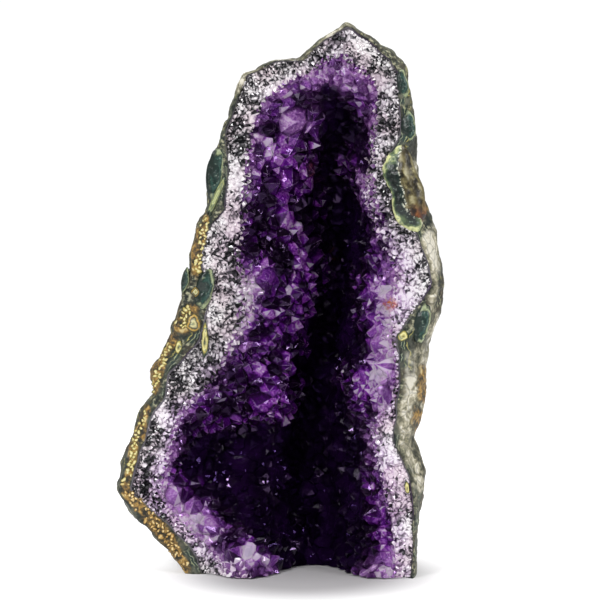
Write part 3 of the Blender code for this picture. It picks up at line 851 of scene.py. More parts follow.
def bed_faces(triangles: Array, n: int, t: int, ring: int, number: Array) -> tuple[Array, Array, Array]:
    """The faces of the crystals over a set of triangles between seats.

    Args:
        triangles: Rows of three seats.
        n: How many seats there are. Their tips are the first vertices.
        t: How many triangles there are. Their valleys come next, and then three shoulders each.
        ring: How many of the seats are border points, which carry no crystal.
        number: Which of its crystal's six faces each shoulder lies on.

    Returns:
        Triangles, the side that each belongs to or -1, and two numbers for each corner, the
        smaller of which is 0 along the ridges. For each edge between two seats, the first seat's
        crystal has a face from its tip over the two shoulders to the two valleys beside the
        edge. A border edge has one triangle, to the valley. No ridge runs between two parts of
        one flat face.
    """
    first, second, match, paired = twins(triangles)
    own, own_corner = np.divmod(np.arange(3 * t), 3)
    other, other_corner = own[match], (own_corner[match] + 1) % 3
    valley, beyond = n + own, n + other
    near = n + t + 3 * own + own_corner
    far = n + t + 3 * other + other_corner
    border, plain, crystal = ~paired, paired & (first < ring), paired & (first >= ring)
    own_side, none = np.arange(3 * t), np.full(3 * t, -1)
    before = number == number[match[3 * own + (own_corner + 2) % 3]]
    after = number == number[3 * other + other_corner]
    kinds = (
        ((first, second, valley), border, none, ((1, 1, 1), border), ((1, 1, 1), border)),
        ((first, beyond, valley), plain, none, ((1, 1, 1), plain), ((1, 1, 1), plain)),
        ((first, far, near), crystal, own_side, ((0, 1, 0), before), ((0, 0, 1), after)),
        ((far, beyond, valley), crystal, own_side, ((0, 0, 1), after), ((1, 1, 1), after)),
        ((far, valley, near), crystal, own_side, ((1, 0, 0), before), ((1, 1, 1), before)),
    )
    faces = np.concatenate([np.stack(corners, axis=1)[kept] for corners, kept, *_ in kinds])
    side = np.concatenate([side[kept] for _, kept, side, *_ in kinds])
    ridge = [
        np.concatenate([np.maximum(kind[i][0], kind[i][1][kind[1], None]) for kind in kinds])
        for i in (3, 4)
    ]
    return faces, side, np.array(ridge, float)


# Meshes


def make_piece(
    name: str, points: Array, faces: Sequence, finish: bpy.types.Material, smooth: bool = False,
    cut: Optional[float] = None, **looks: dict[str, Array],
) -> bpy.types.Object:
    """A new mesh object, linked to the scene, at the origin.

    Args:
        name: The object's name.
        points: Its vertices.
        faces: Arrays of faces, each with rows of as many vertex indices as its faces have sides.
        finish: Its material.
        smooth: Whether its faces are shaded smooth.
        cut: The height that it is sawn flat at, if it is.
        looks: Numbers by name for its points, faces or corners, which its material reads.

    Returns:
        The object.
    """
    mesh = bpy.data.meshes.new(name)
    mesh.from_pydata(points.tolist(), [], [row for part in faces for row in part.tolist()])
    mesh.polygons.foreach_set("use_smooth", np.full(len(mesh.polygons), smooth))
    mesh.update()
    for domain, values in looks.items():
        for label, numbers in values.items():
            layer = mesh.attributes.new(label, "FLOAT", domain.upper())
            layer.data.foreach_set("value", numbers.astype(np.float32))
    if cut is not None:
        saw_flat(mesh, cut)
    mesh.materials.append(finish)
    made = bpy.data.objects.new(name, mesh)
    bpy.context.scene.collection.objects.link(made)
    return made


def saw_flat(mesh: bpy.types.Mesh, height: float) -> None:
    """Cuts a mesh off at a height, closes the cut and leaves its normals facing out."""
    bm = bmesh.new()
    bm.from_mesh(mesh)
    everything = bm.verts[:] + bm.edges[:] + bm.faces[:]
    cut = bmesh.ops.bisect_plane(
        bm, geom=everything, plane_co=(0, 0, height), plane_no=(0, 0, 1), clear_inner=True
    )
    edges = [e for e in cut["geom_cut"] if isinstance(e, bmesh.types.BMEdge)]
    bmesh.ops.holes_fill(bm, edges=edges, sides=0)
    bmesh.ops.triangulate(bm, faces=[f for f in bm.faces if len(f.verts) > 4])
    bmesh.ops.recalc_face_normals(bm, faces=bm.faces)
    bm.to_mesh(mesh)
    bm.free()


def closed_rings(shells: Sequence[Array]) -> tuple[Array, list[Array]]:
    """Points and faces of shells of closed rings.

    Args:
        shells: For each shell its rings of points, all with the same number of points.

    Returns:
        The points, shell by shell, each shell's followed by two tips at the middle of its first
        and last ring, and the faces: quads between the rings and triangles to the tips.
    """
    points, faces, start = [], [], 0
    for rows in shells:
        levels, count = rows.shape[:2]
        points.append(np.concatenate([rows.reshape(-1, 3), rows[[0, -1]].mean(axis=1)]))
        here = start + np.arange(levels * count).reshape(levels, count)
        ahead = np.roll(here, -1, axis=1)
        faces.append(np.stack([here[:-1], ahead[:-1], ahead[1:], here[1:]], axis=-1).reshape(-1, 4))
        start += levels * count
        for row, tip in ((0, start), (-1, start + 1)):
            faces.append(np.stack([here[row], ahead[row], np.full(count, tip)], axis=1))
        start += 2
    return np.concatenate(points), faces


# Nodes


class Step(Enum):
    """The nodes of the finishes: type, inputs in order, output and settings."""

    PLUS = ("Math", (0, 1), 0, {"operation": "ADD"})
    LESS = ("Math", (0, 1), 0, {"operation": "SUBTRACT"})
    TIMES = ("Math", (0, 1), 0, {"operation": "MULTIPLY"})
    OVER = ("Math", (0, 1), 0, {"operation": "DIVIDE"})
    LOWER = ("Math", (0, 1), 0, {"operation": "MINIMUM"})
    FOLD = ("Math", (0, 1), 0, {"operation": "PINGPONG"})
    SPAN = ("MapRange", (0, 1, 2), 0, {"interpolation_type": "SMOOTHSTEP"})
    BETWEEN = ("Mix", (0, 2, 3), 0, {"data_type": "FLOAT"})
    MIX = ("Mix", (0, 6, 7), 2, {"data_type": "RGBA"})
    TINT = ("Mix", (0, 6, 7), 2, {"data_type": "RGBA", "blend_type": "MULTIPLY"})
    RAMP = ("ValToRGB", (0,), 0, {})
    NUMBER = ("Attribute", (), "Fac", {})
    NOISE = ("TexNoise", ("Vector", "Scale", "Detail", "Distortion"), 0, {})
    CELLS = ("TexVoronoi", ("Vector", "Scale"), 0, {})
    BUMP = ("Bump", ("Height", "Distance", "Strength"), 0, {})
    ABSORPTION = ("VolumeAbsorption", ("Color", "Density"), 0, {})
    PLACE = ("TexCoord", (), "Object", {})
    DIRECTION = ("TexCoord", (), "Generated", {})
    DEPTH = ("SeparateXYZ", (0,), 1, {})
    DISTANCE = ("VectorMath", (0, 1), 1, {"operation": "DISTANCE"})
    SEEN = ("LightPath", (), "Is Camera Ray", {})


def plug(socket: bpy.types.NodeSocket, value: object) -> None:
    """Links what a node gives to an input, or sets the input to a number or a hex colour."""
    if isinstance(value, Value):
        socket.id_data.links.new(value.socket, socket)
    else:
        socket.default_value = srgb(value) if isinstance(value, str) else value


def add_node(
    tree: bpy.types.NodeTree, step: Step, *inputs: object, stops: Sequence = (), **settings: object
) -> "Value":
    """Adds a node with its settings and links.

    Args:
        tree: The node tree that it goes into.
        step: The kind of node.
        inputs: What goes into its inputs, in the step's order.
        stops: The place and the hex colour of each stop of a colour ramp.
        settings: Further properties of the node.

    Returns:
        What the node gives.
    """
    kind, sockets, output, fixed = step.value
    node = tree.nodes.new("ShaderNode" + kind)
    for name, value in {**fixed, **settings}.items():
        setattr(node, name, value)
    for name, value in zip(sockets, inputs):
        plug(node.inputs[name], value)
    for number, (place, code) in enumerate(stops):
        elements = node.color_ramp.elements
        element = elements[number] if number < 2 else elements.new(place)
        element.position, element.color = place, srgb(code)
    return Value(node.outputs[output])


@dataclass(frozen=True)
class Value:
    """What a node gives, with the signs of arithmetic to go on with it."""

    socket: bpy.types.NodeSocket

    def to(self, step: Step, *inputs: object, **settings: object) -> "Value":
        """What the next node gives, with this as its first input."""
        return add_node(self.socket.id_data, step, self, *inputs, **settings)

    __add__ = partialmethod(to, Step.PLUS)
    __sub__ = partialmethod(to, Step.LESS)
    __mul__ = partialmethod(to, Step.TIMES)
    __truediv__ = partialmethod(to, Step.OVER)

    def __rsub__(self, other: float) -> "Value":
        """The difference from a number."""
        return add_node(self.socket.id_data, Step.LESS, other, self)


class Graph:
    """A material under construction: its node tree and what its patterns start from."""

    def __init__(self, name: str, *numbers: str) -> None:
        """Makes a new material with a Principled shader.

        Args:
            name: The material's name.
            numbers: The names of the mesh's numbers that it reads.
        """
        self.material = bpy.data.materials.new(name)
        self.material.use_nodes = True
        self.add = partial(add_node, self.material.node_tree)
        self.place = self.add(Step.PLACE)
        self.numbers = [self.add(Step.NUMBER, attribute_name=number) for number in numbers]

    def feed(self, node: str = "Principled BSDF", **inputs: object) -> bpy.types.Material:
        """Sets or links a node's inputs, with low lines for the spaces in their names.

        Args:
            node: The node's name.
            inputs: What goes into each of its inputs.

        Returns:
            The material.
        """
        for name, value in inputs.items():
            plug(self.material.node_tree.nodes[node].inputs[name.replace("_", " ")], value)
        return self.material


# Finishes


@dataclass(frozen=True)
class ClearAmethyst:
    """Amethyst, grown crystal faces: clear violet stone with sharp pale glints, some painted, and painted
    ridge highlights.
    """

    absorbs: str = "#cb48d4"
    density: float = 200.0
    ior: float = 1.544
    roughness: float = 0.05
    clear: float = 0.55
    rust: str = "#d8701e"

    def build(self) -> bpy.types.Material:
        """Makes the material."""
        names = ("facet", "chance", "tip", "lit", "gloom", "rust", "pale", "ridge_0", "ridge_1")
        graph = Graph("amethyst_grown_crystal", *names)
        add, place = graph.add, graph.place
        facet, chance, tip, lit, gloom, rust, milky, *ridges = graph.numbers
        streaks = add(Step.NOISE, place, 1 / 0.0016, 3.0, 1.5) * 0.5
        tone = facet * 0.45 + (chance * 0.3 + streaks)
        tone = tone * (1.0 - lit * 0.25) + lit * 0.42 - gloom * 0.45
        violet = add(Step.RAMP, tone, stops=(
            (0.38, "#140318"), (0.55, "#3a0850"), (0.68, "#681a92"), (0.79, "#a044c0"),
            (0.87, "#d49ee4"), (0.94, "#f8edfa"),
        ))
        pale = add(Step.RAMP, tone + (streaks - 0.25) * 1.2, stops=(
            (0.32, "#5c2a76"), (0.52, "#a666ba"), (0.74, "#deb0e6"), (0.95, "#fdf2fc")
        ))
        tint = add(Step.MIX, milky, violet, pale)
        # Painted highlight: a light lilac line along the crystals' ridges, on their upper parts and fainter
        # in the gloom.
        ridge_highlight = ridges[0].to(Step.LOWER, ridges[1]).to(Step.SPAN, 0.10, 0.02) * tip.to(Step.SPAN, 0.1, 0.6)
        ridge_highlight = ridge_highlight * streaks.to(Step.SPAN, 0.2, 0.28) * (0.6 - gloom * 0.5)
        tint = add(Step.MIX, ridge_highlight, tint, "#d6b0ea")
        tint = add(Step.MIX, rust * streaks.to(Step.SPAN, 0.2, 0.3) * 0.9, tint, self.rust)
        patchy = add(Step.NOISE, place, 1 / 0.009, 2.0).to(Step.SPAN, 0.4, 0.7)
        tint = add(Step.MIX, gloom * gloom, tint, add(Step.MIX, patchy, "#10031a", "#240a38"))
        # Painted glints: one face of some lucky crystals turns pale grey-white, fainter down in the gloom.
        painted_glint = facet.to(Step.SPAN, 0.86, 0.88) * tip.to(Step.SPAN, 0.15, 0.3)
        painted_glint = painted_glint * chance.to(Step.SPAN, 0.78, 0.8) * (0.9 - gloom * 0.76)
        painted_glint = painted_glint * add(Step.NOISE, place, 1 / 0.0012, 2.0).to(Step.SPAN, 0.38, 0.44)
        tint = add(Step.MIX, painted_glint, tint, "#e2dcea")
        shine = add(Step.MIX, gloom * chance.to(Step.SPAN, 0.86, 0.76), "#cdaae8", "#4c3670")
        steps = add(Step.CELLS, place, 1 / 0.0019) + add(Step.NOISE, place, 1 / 0.0009, 2.0) * 0.4
        graph.feed("Material Output", Volume=add(Step.ABSORPTION, self.absorbs, self.density))
        return graph.feed(
            Base_Color=tint, Roughness=self.roughness, IOR=self.ior, Transmission_Weight=self.clear,
            Specular_Tint=shine, Normal=steps.to(Step.BUMP, 0.0003, 0.35),
        )


@dataclass(frozen=True)
class CloudedCore:
    """Amethyst, clouded core: each crystal's own violet, lighter to its tip, with painted shade near black
    in the gaps.
    """

    gap: str = "#0c0212"
    dark: str = "#2e0842"
    violet: str = "#661e8c"
    light: str = "#bc72dc"
    pale: str = "#dcb8e6"
    rust: str = "#c47a3c"

    def build(self) -> bpy.types.Material:
        """Makes the material."""
        graph = Graph("amethyst_clouded_core", "chance", "lit", "tip", "pale", "rust", "gloom")
        add, (chance, lit, tip, milky, rust, gloom) = graph.add, graph.numbers
        tone = chance + add(Step.NOISE, graph.place, 1 / 0.002, 3.0, 0.5) * 0.5 + lit * 0.5
        violet = add(Step.RAMP, tone, stops=((0.25, self.dark), (0.65, self.violet), (1.0, self.light)))
        # Painted shade: below a third of the way up, each core darkens to near black in the valleys between
        # crystals.
        up = tip.to(Step.SPAN, 0.0, 0.35)
        violet, pale = add(Step.MIX, up, self.gap, violet), add(Step.MIX, up, "#8d6aa0", self.pale)
        colour = add(Step.MIX, milky, violet, pale)
        colour = add(Step.MIX, gloom, add(Step.MIX, rust, colour, self.rust), "#0d0316")
        return graph.feed(Base_Color=colour, Roughness=0.35)


@dataclass(frozen=True)
class MilkyQuartz:
    """Milky quartz, massive: the clouded base of the crystals, violet deep down, white above."""

    dark: str = "#340f50"
    deep: str = "#9440b8"
    pale: str = "#ddd3e4"
    rust: str = "#b4521c"

    def build(self) -> bpy.types.Material:
        """Makes the material."""
        graph = Graph("milky_quartz_massive", "pale", "rust", "gloom")
        add, (milky, rust, gloom) = graph.add, graph.numbers
        patchy = add(Step.NOISE, graph.place, 1 / 0.006, 3.0, 0.6).to(Step.SPAN, 0.35, 0.68)
        colour = add(Step.MIX, milky, add(Step.MIX, patchy, self.dark, self.deep), self.pale)
        colour = add(Step.MIX, gloom, add(Step.MIX, rust, colour, self.rust), "#050208")
        return graph.feed(Base_Color=colour, Roughness=0.5)


@dataclass(frozen=True)
class GranularQuartz:
    """Quartz, broken through its grains: white, grey and smoky specks with sharp glints."""

    roughness: float = 0.12
    ior: float = 1.544
    rust: str = "#c8641e"

    def build(self) -> bpy.types.Material:
        """Makes the material."""
        graph = Graph("granular_quartz_broken", "tone", "facet", "lilac", "rust")
        add, place, (tone, facet, lilac, rust) = graph.add, graph.place, graph.numbers
        tone = tone + add(Step.NOISE, place, 1 / 0.0011, 2.0) * 0.35 + (facet - 0.5) * 0.72
        grey = add(Step.RAMP, tone, stops=(
            (0.20, "#0d0f11"), (0.38, "#3c3b40"), (0.54, "#8d898c"), (0.72, "#cfc9cc"), (0.92, "#faf7f8")
        ))
        warm = add(Step.NOISE, place, 1 / 0.011, 3.0).to(Step.SPAN, 0.44, 0.6) * 0.5
        grey = add(Step.MIX, warm, grey, add(Step.TINT, 1.0, grey, "#e6d2da"))
        veil = lilac * (1.0 - tone.to(Step.SPAN, 0.78, 0.98) * 0.6)
        colour = add(Step.MIX, veil, grey, add(Step.TINT, 1.0, grey, "#d6b6e6"))
        colour = add(Step.MIX, rust * 0.85, colour, self.rust)
        return graph.feed(Base_Color=colour, Roughness=self.roughness, IOR=self.ior)


@dataclass(frozen=True)
class AgateRind:
    """Basalt and agate, broken edge: teal and pale green lines, ochre froth and a dull rind."""

    def build(self) -> bpy.types.Material:
        """Makes the material."""
        names = ("relief", "inner_mm", "border", "back", "outer_mm", "cream", "grey", "ochre")
        graph = Graph("basalt_agate_broken", *names)
        add, place = graph.add, graph.place
        relief, inner, border, back, outer, cream, greyer, frothy = graph.numbers
        rough = add(Step.NOISE, place, 1 / 0.009, 6.0, 0.4)
        fine = add(Step.NOISE, place, 1 / 0.0012, 4.0)
        middling = add(Step.NOISE, place, 1 / 0.0028, 8.0)
        stone = add(Step.RAMP, relief * 0.22 + middling, stops=(
            (0.28, "#13130e"), (0.44, "#2c2e26"), (0.58, "#474b40"), (0.75, "#666858"), (0.95, "#8d8b76")
        ))
        stone = add(Step.MIX, rough.to(Step.SPAN, 0.48, 0.62) * 0.5, stone, "#4a3c28")
        wobble = (add(Step.NOISE, place, 1 / 0.0055, 3.0) - 0.5) * 4.6
        wobble = wobble + (add(Step.NOISE, place, 1 / 0.0014, 2.0) - 0.5) * 2.2
        depth = (inner + wobble) / 8.0
        lines = add(Step.RAMP, depth, stops=(
            (0.00, "#0f1916"), (0.07, "#16271f"), (0.10, "#a3ad93"), (0.13, "#1a2c26"),
            (0.24, "#23403a"), (0.28, "#b9bd8c"), (0.31, "#28403a"), (0.42, "#101c18"),
            (0.46, "#b7ac62"), (0.50, "#3a4a36"), (0.62, "#131f1a"),
        ))
        specks = add(Step.RAMP, fine, stops=((0.40, "#0c1412"), (0.5, "#454c3e"), (0.62, "#b3b092")))
        lines = add(Step.MIX, rough.to(Step.SPAN, 0.46, 0.56), lines, specks)
        dim = add(Step.RAMP, middling, stops=((0.40, "#0d1511"), (0.52, "#1d3027"), (0.62, "#3f5547")))
        lines = add(Step.MIX, border, lines, dim)
        shown = 1.0 - (back + (middling - 0.5) * 0.5).to(Step.SPAN, -0.03, 0.05)
        edge = (1.0 - outer.to(Step.SPAN, 0.2, 0.9)) * shown * fine.to(Step.SPAN, 0.5, 0.6)
        colour = add(Step.MIX, edge, add(Step.MIX, shown, stone, lines), "#b5b180")
        fold = (depth * 2.6).to(Step.FOLD, 1.0) * 0.3 + add(Step.NOISE, place, 1 / 0.0022, 6.0, 0.8)
        grey = add(Step.RAMP, fold + cream * 0.2, stops=(
            (0.42, "#171a14"), (0.54, "#565644"), (0.66, "#8c8871"), (0.78, "#c4bda4"), (0.88, "#e9e4d4")
        ))
        crack = add(Step.CELLS, place, 1 / 0.0048, feature="DISTANCE_TO_EDGE").to(Step.SPAN, 0.07, 0.01)
        colour = add(Step.MIX, greyer, colour, add(Step.MIX, crack * 0.4, grey, "#1c2019"))
        ochre = add(Step.RAMP, fine * 0.5 + middling * 0.5, stops=(
            (0.40, "#221f14"), (0.46, "#54452a"), (0.52, "#8c6c34"), (0.58, "#b8944e"), (0.64, "#dcc88c")
        ))
        return graph.feed(
            Base_Color=add(Step.MIX, frothy, colour, ochre), Roughness=rough * 0.5 + 0.35,
            Normal=(fine * 0.5 + middling * 1.6).to(Step.BUMP, 0.001, 0.9),
        )


class NoduleKind(Enum):
    """The agate nodules' kinds, with their colours from the middle to the outline."""

    LENS = ("#1f3a35", "#142824", "#2f5048", "#1a302a", "#a9b489", "#16231e")
    PALE = ("#8f9d6c", "#c3c98c", "#5d6c48", "#a9af78", "#3c4a34", "#1b2620")
    EYE = ("#8d8a52", "#d8d09a", "#1e2a22", "#c8a24a", "#26362d", "#7a6430")
    YELLOW = ("#2a3326", "#c9c07a", "#e6e0a0", "#b7a850", "#3c4a30", "#141f1a")
    LOBE = ("#14302a", "#0a1a16", "#050f0c", "#0b1e19", "#5a6e48", "#e4e8a8")


@dataclass(frozen=True)
class PolishedAgate:
    """Agate, waterworn: rings of one nodule's colours under a soft shine."""

    kind: NoduleKind

    def build(self) -> bpy.types.Material:
        """Makes the material."""
        graph = Graph(f"agate_{self.kind.name.lower()}_waterworn", "ring", "side", "height")
        add, place, (ring, side, height) = graph.add, graph.place, graph.numbers
        wobble = (add(Step.NOISE, place, 1 / 0.0024, 4.0) - 0.5) * 0.7
        places = (0.0, 0.35, 0.55, 0.72, 0.88, 1.0)
        colour = add(Step.RAMP, ring + wobble, stops=tuple(zip(places, self.kind.value)))
        fine = add(Step.NOISE, place, 1 / 0.0009, 4.0)
        colour = add(Step.MIX, fine.to(Step.SPAN, 0.56, 0.7), colour, "#6f8074")
        if self.kind is NoduleKind.LENS:
            colour = add(Step.MIX, (side + wobble * 3.0).to(Step.SPAN, 0.1, -0.5), colour, "#182722")
        if self.kind is NoduleKind.LOBE:
            rough = add(Step.NOISE, place, 1 / 0.003, 6.0, 0.3)
            streak = (side * 4.0 + rough * 3.0).to(Step.FOLD, 1.0) * 0.16 + rough * 0.9
            skin = add(Step.RAMP, streak, stops=(
                (0.42, "#1a160c"), (0.52, "#4a4229"), (0.62, "#7a724e"), (0.76, "#b8b08c")
            ))
            low = (height + rough * 0.8).to(Step.SPAN, 0.15, -0.3)
            skin = add(Step.MIX, low, skin, add(Step.TINT, 1.0, skin, "#ff9238"))
            edge = side + rough * 0.7 + height.to(Step.SPAN, -0.5, -0.9) * -0.6
            edge = edge + height.to(Step.SPAN, 0.5, 0.85) * -0.5
            colour = add(Step.MIX, edge.to(Step.SPAN, 0.26, 0.38), colour, skin)
            rim = edge.to(Step.SPAN, 0.18, 0.26) * edge.to(Step.SPAN, 0.38, 0.30)
            colour = add(Step.MIX, rim * fine.to(Step.SPAN, 0.5, 0.56) * 0.8, colour, "#dcdcc8")
        return graph.feed(Base_Color=colour, Roughness=0.36, Normal=fine.to(Step.BUMP, 0.0003, 0.6))


@dataclass(frozen=True)
class OchreBeads:
    """Limonite, beaded: small ochre domes with painted shading, a pale highlight on top and brown to near
    black at the foot.
    """

    def build(self) -> bpy.types.Material:
        """Makes the material."""
        graph = Graph("limonite_beaded", "rise", "height_mm")
        add, place, (rise, height) = graph.add, graph.place, graph.numbers
        # Painted shading: the dome's rise turns into a painted highlight on top and painted shade at its
        # foot.
        rise = rise - add(Step.NOISE, place, 1 / 0.004, 3.0) * 0.5 + 0.2
        rise = rise + (add(Step.NOISE, place, 1 / 0.0009, 3.0) - 0.5) * 0.9
        colour = add(Step.RAMP, rise, stops=(
            (0.15, "#161a12"), (0.40, "#4a3a1a"), (0.60, "#8e6a2e"), (0.80, "#bf9a52"), (1.0, "#ecdcaa")
        ))
        yellow = add(Step.RAMP, rise, stops=(
            (0.15, "#1a241a"), (0.4, "#5c5628"), (0.65, "#bfae5c"), (0.95, "#e8dfa8")
        ))
        colour = add(Step.MIX, height.to(Step.SPAN, 27.0, 31.0), colour, yellow)
        return graph.feed(Base_Color=colour, Roughness=0.4)


# Pieces


@dataclass(frozen=True)
class RockWall:
    """The basalt wall with its agate edge."""

    wall: Wall
    tuck: tuple = (1.6 * MM, 1.4 * MM)  # how far its first ring lies under the quartz and back
    crown_rise: float = 0.5 * MM
    crown_back: float = 0.3 * MM
    crown_rings: int = 9
    dome_rings: int = 78
    knob: float = 6.5 * MM
    bead: float = 2.4 * MM
    lump: float = 11 * MM
    ragged: float = 6 * MM
    bead_shade: float = 2.4 * MM

    def build(self) -> bpy.types.Object:
        """Makes the wall as one closed mesh, with what its material needs to know.

        Returns:
            The wall. Its outer rings run over a rounded crown, then down the skin while the
            inset falls from the skin's width to nothing with a power of 1.5, then over the dome.
        """
        wall, form = self.wall, self.wall.form
        thin, edge = np.zeros(wall.count), wall.skin + wall.rind
        shares = np.linspace(0, 1, self.crown_rings)
        tuck = edge + self.tuck[0]
        # Each ring's points, its distances from the quartz and the outline in metres, how far
        # back it lies from 0 at the edge to 1, and how strong its relief is.
        levels = [(raised(wall.inset(tuck), wall.front + self.tuck[1]), thin, tuck, 0, 0)]
        for share in shares:
            inside = wall.rind * share
            crown = wall.front - self.crown_rise * math.sin(math.pi * share) + self.crown_back
            plan = wall.inset(edge - inside)
            levels.append((raised(plan, crown), inside, edge - inside, 0, 0.4))
        for share in shares[1:]:
            inset = wall.skin * (1 - share) ** 1.5
            ring = raised(wall.inset(inset), wall.front + (wall.widest - wall.front) * share)
            levels.append((ring, wall.rind + wall.skin * share, inset, 0.04 * share, 0.7))
        angles = 89 * np.linspace(0.012, 1, self.dome_rings) ** 1.15
        for degrees, ring in zip(angles, wall.dome(angles, 0, 0)):
            levels.append((ring, edge, thin, 0.04 + degrees / 90, 1))

        grid = np.array([level[0] for level in levels])
        inner, outer, back, rough = (np.array([thin + level[i] for level in levels]) for i in (1, 2, 3, 4))
        knobs = self._relief(grid)
        around = np.roll(grid, -1, axis=1) - np.roll(grid, 1, axis=1)
        normals = unit(np.cross(around, np.gradient(grid, axis=0)))
        grid = grid + normals * (knobs * rough * MM)[..., None]
        inside = wall.dome(INNER_RINGS, form.rock_rim, form.rock_back)
        points, faces = closed_rings([np.concatenate([inside, grid])])

        def spread(values: Array) -> Array:
            """One value for each vertex: the inner rings and the tips take the first and last."""
            rows = np.concatenate([np.repeat(values[:1], len(inside), axis=0), values])
            return np.append(rows.reshape(-1), (rows[0, 0], rows[-1, 0]))

        ragged = 0.3 * cloud(points, self.ragged, 25, 3)
        behind = spread(back)
        froth = 1 - smoothstep(0.03, 0.12, behind + 0.2 * ragged)
        skin = 1 - smoothstep(0.04, 0.2, behind + 0.4 * ragged)
        ochre = smoothstep(0.35, 0.65, patches(points, OCHRE_MM) + ragged)
        made = make_piece("rock_wall", points, faces, AgateRind().build(), smooth=True, cut=0.0, point={
            "inner_mm": spread(inner) / MM,
            "outer_mm": spread(outer) / MM,
            "back": behind,
            "relief": spread(knobs),
            "border": beside(points, BEADS_MM, self.bead_shade) * froth,
            "ochre": np.maximum(ochre, beside(points, BEADS_MM, 0.5 * MM)) * froth,
            "grey": smoothstep(0.3, 0.6, patches(points, GREY_MM) + ragged) * skin,
            "cream": patches(points, CREAM_MM) * froth,
        })
        return made

    def _relief(self, grid: Array) -> Array:
        """The wall's relief: rounded knobs, small beads and soft lumps, in millimetres."""
        knobs, luck = domes(grid, self.knob, 21)
        beads, chance = domes(grid, self.bead, 22)
        small = 0.8 * (beads * (0.2 + 0.5 * chance))
        return knobs * (0.4 + 0.9 * luck) + small + 0.5 * cloud(grid, self.lump, 23, 3) - 0.9


# The agate nodules on the edge: kind, x, z, half width, half length and how far each stands out,
# in millimetres, and its tilt to the right in degrees.
NODULES_MM = (
    (NoduleKind.LENS, -20.8, 130.5, 2.7, 9.5, 1.2, 4), (NoduleKind.PALE, -20.6, 123.2, 1.2, 7.2, 1.6, 24),
    (NoduleKind.LENS, -24.4, 92.9, 2.9, 7, 1.4, 14), (NoduleKind.EYE, -27.3, 92.2, 1.4, 1.7, 1.9, 0),
    (NoduleKind.LENS, -30.9, 96, 1.2, 4.2, 1.2, 10), (NoduleKind.EYE, -28, 82.1, 2.3, 2.7, 1.5, 20),
    (NoduleKind.YELLOW, -24.4, 76.2, 1.2, 6.6, 1.2, 2), (NoduleKind.YELLOW, -33, 74, 1.2, 2.4, 1.2, 10),
    (NoduleKind.LENS, 42, 146.2, 2.4, 5.4, 1.2, -4), (NoduleKind.LENS, 39.8, 159.6, 1.9, 6.4, 1.2, -9),
    (NoduleKind.LOBE, 39.9, 126.6, 5.6, 14.2, 3, -16), (NoduleKind.LENS, 46.2, 82.7, 2.7, 6.6, 1.2, 8),
    (NoduleKind.YELLOW, 40.1, 78.5, 2.2, 1.6, 1.2, -30), (NoduleKind.YELLOW, 41.4, 29.4, 0.9, 1.9, 1.2, -10),
)


@dataclass(frozen=True)
class AgateNodules:
    """The agate nodules that show in the broken edge."""

    wall: Wall
    rings: int = 16
    sides: int = 56
    waver: float = 0.2
    relief: float = 0.4 * MM
    relief_length: float = 2.5 * MM
    sunk: float = 0.2 * MM
    root: float = 3 * MM

    def _dome(self, sizes: Sequence[float], seed: int) -> tuple[Array, ...]:
        """One nodule as rings of points from its middle to its outline, and on to its back.

        Args:
            sizes: Its middle's x and z, its half width and length, its rise and its tilt.
            seed: Picks how its outline wavers.

        Returns:
            The rings, and for each point and the two tips the share of the way from the middle
            to the outline, and how far to the right and how far up it is, from -1 to 1. A point
            stands out by the square root of one less its share squared.
        """
        share = np.concatenate([np.linspace(0.04, 1, self.rings), [1.0, 0.5]])
        angle, right, up = circle(self.sides)
        waver = np.stack([right, up, np.full(self.sides, seed * 0.7)], axis=-1)
        outline = 1 + self.waver * cloud(waver, 0.9, 40 + seed, 3)
        x, z, width, length, rise, tilt = sizes
        across, along = right * width * outline * MM, up * length * outline * MM
        cos, sin = math.cos(math.radians(tilt)), math.sin(math.radians(tilt))
        x = x * MM + share[:, None] * (across * cos + along * sin)
        z = z * MM + share[:, None] * (along * cos - across * sin)
        sample = self.wall.nearest(x, z)
        level = self.wall.front[sample].mean() * 0.5 + self.wall.front[sample] * 0.5
        rise = rise * MM * np.sqrt(np.maximum(0, 1 - share**2))
        rise[-2:] = -self.root
        points = np.stack([x, level - rise[:, None] + self.sunk, z], axis=-1)
        points[..., 1] -= self.relief * cloud(points, self.relief_length, seed, 3) * (rise > 0)[:, None]
        ring = np.where(rise > 0, share, 1.0)[:, None]
        tips = ((0.0, 1.0), (0.0, 0.0), (0.0, 0.0))
        looks = (np.append(ring * way, tip) for way, tip in zip((0 * angle + 1, right, up), tips))
        return points, *looks

    def build(self) -> list[bpy.types.Object]:
        """Makes one piece for each kind of nodule."""
        made = []
        for kind in NoduleKind:
            rows = enumerate(NODULES_MM)
            shells, *looks = zip(*(self._dome(row[1:], seed) for seed, row in rows if row[0] is kind))
            values = dict(zip(("ring", "side", "height"), map(np.concatenate, looks)))
            name, finish = f"agate_{kind.name.lower()}", PolishedAgate(kind).build()
            piece = make_piece(name, *closed_rings(shells), finish, smooth=True, cut=0.0, point=values)
            made.append(piece)
        return made


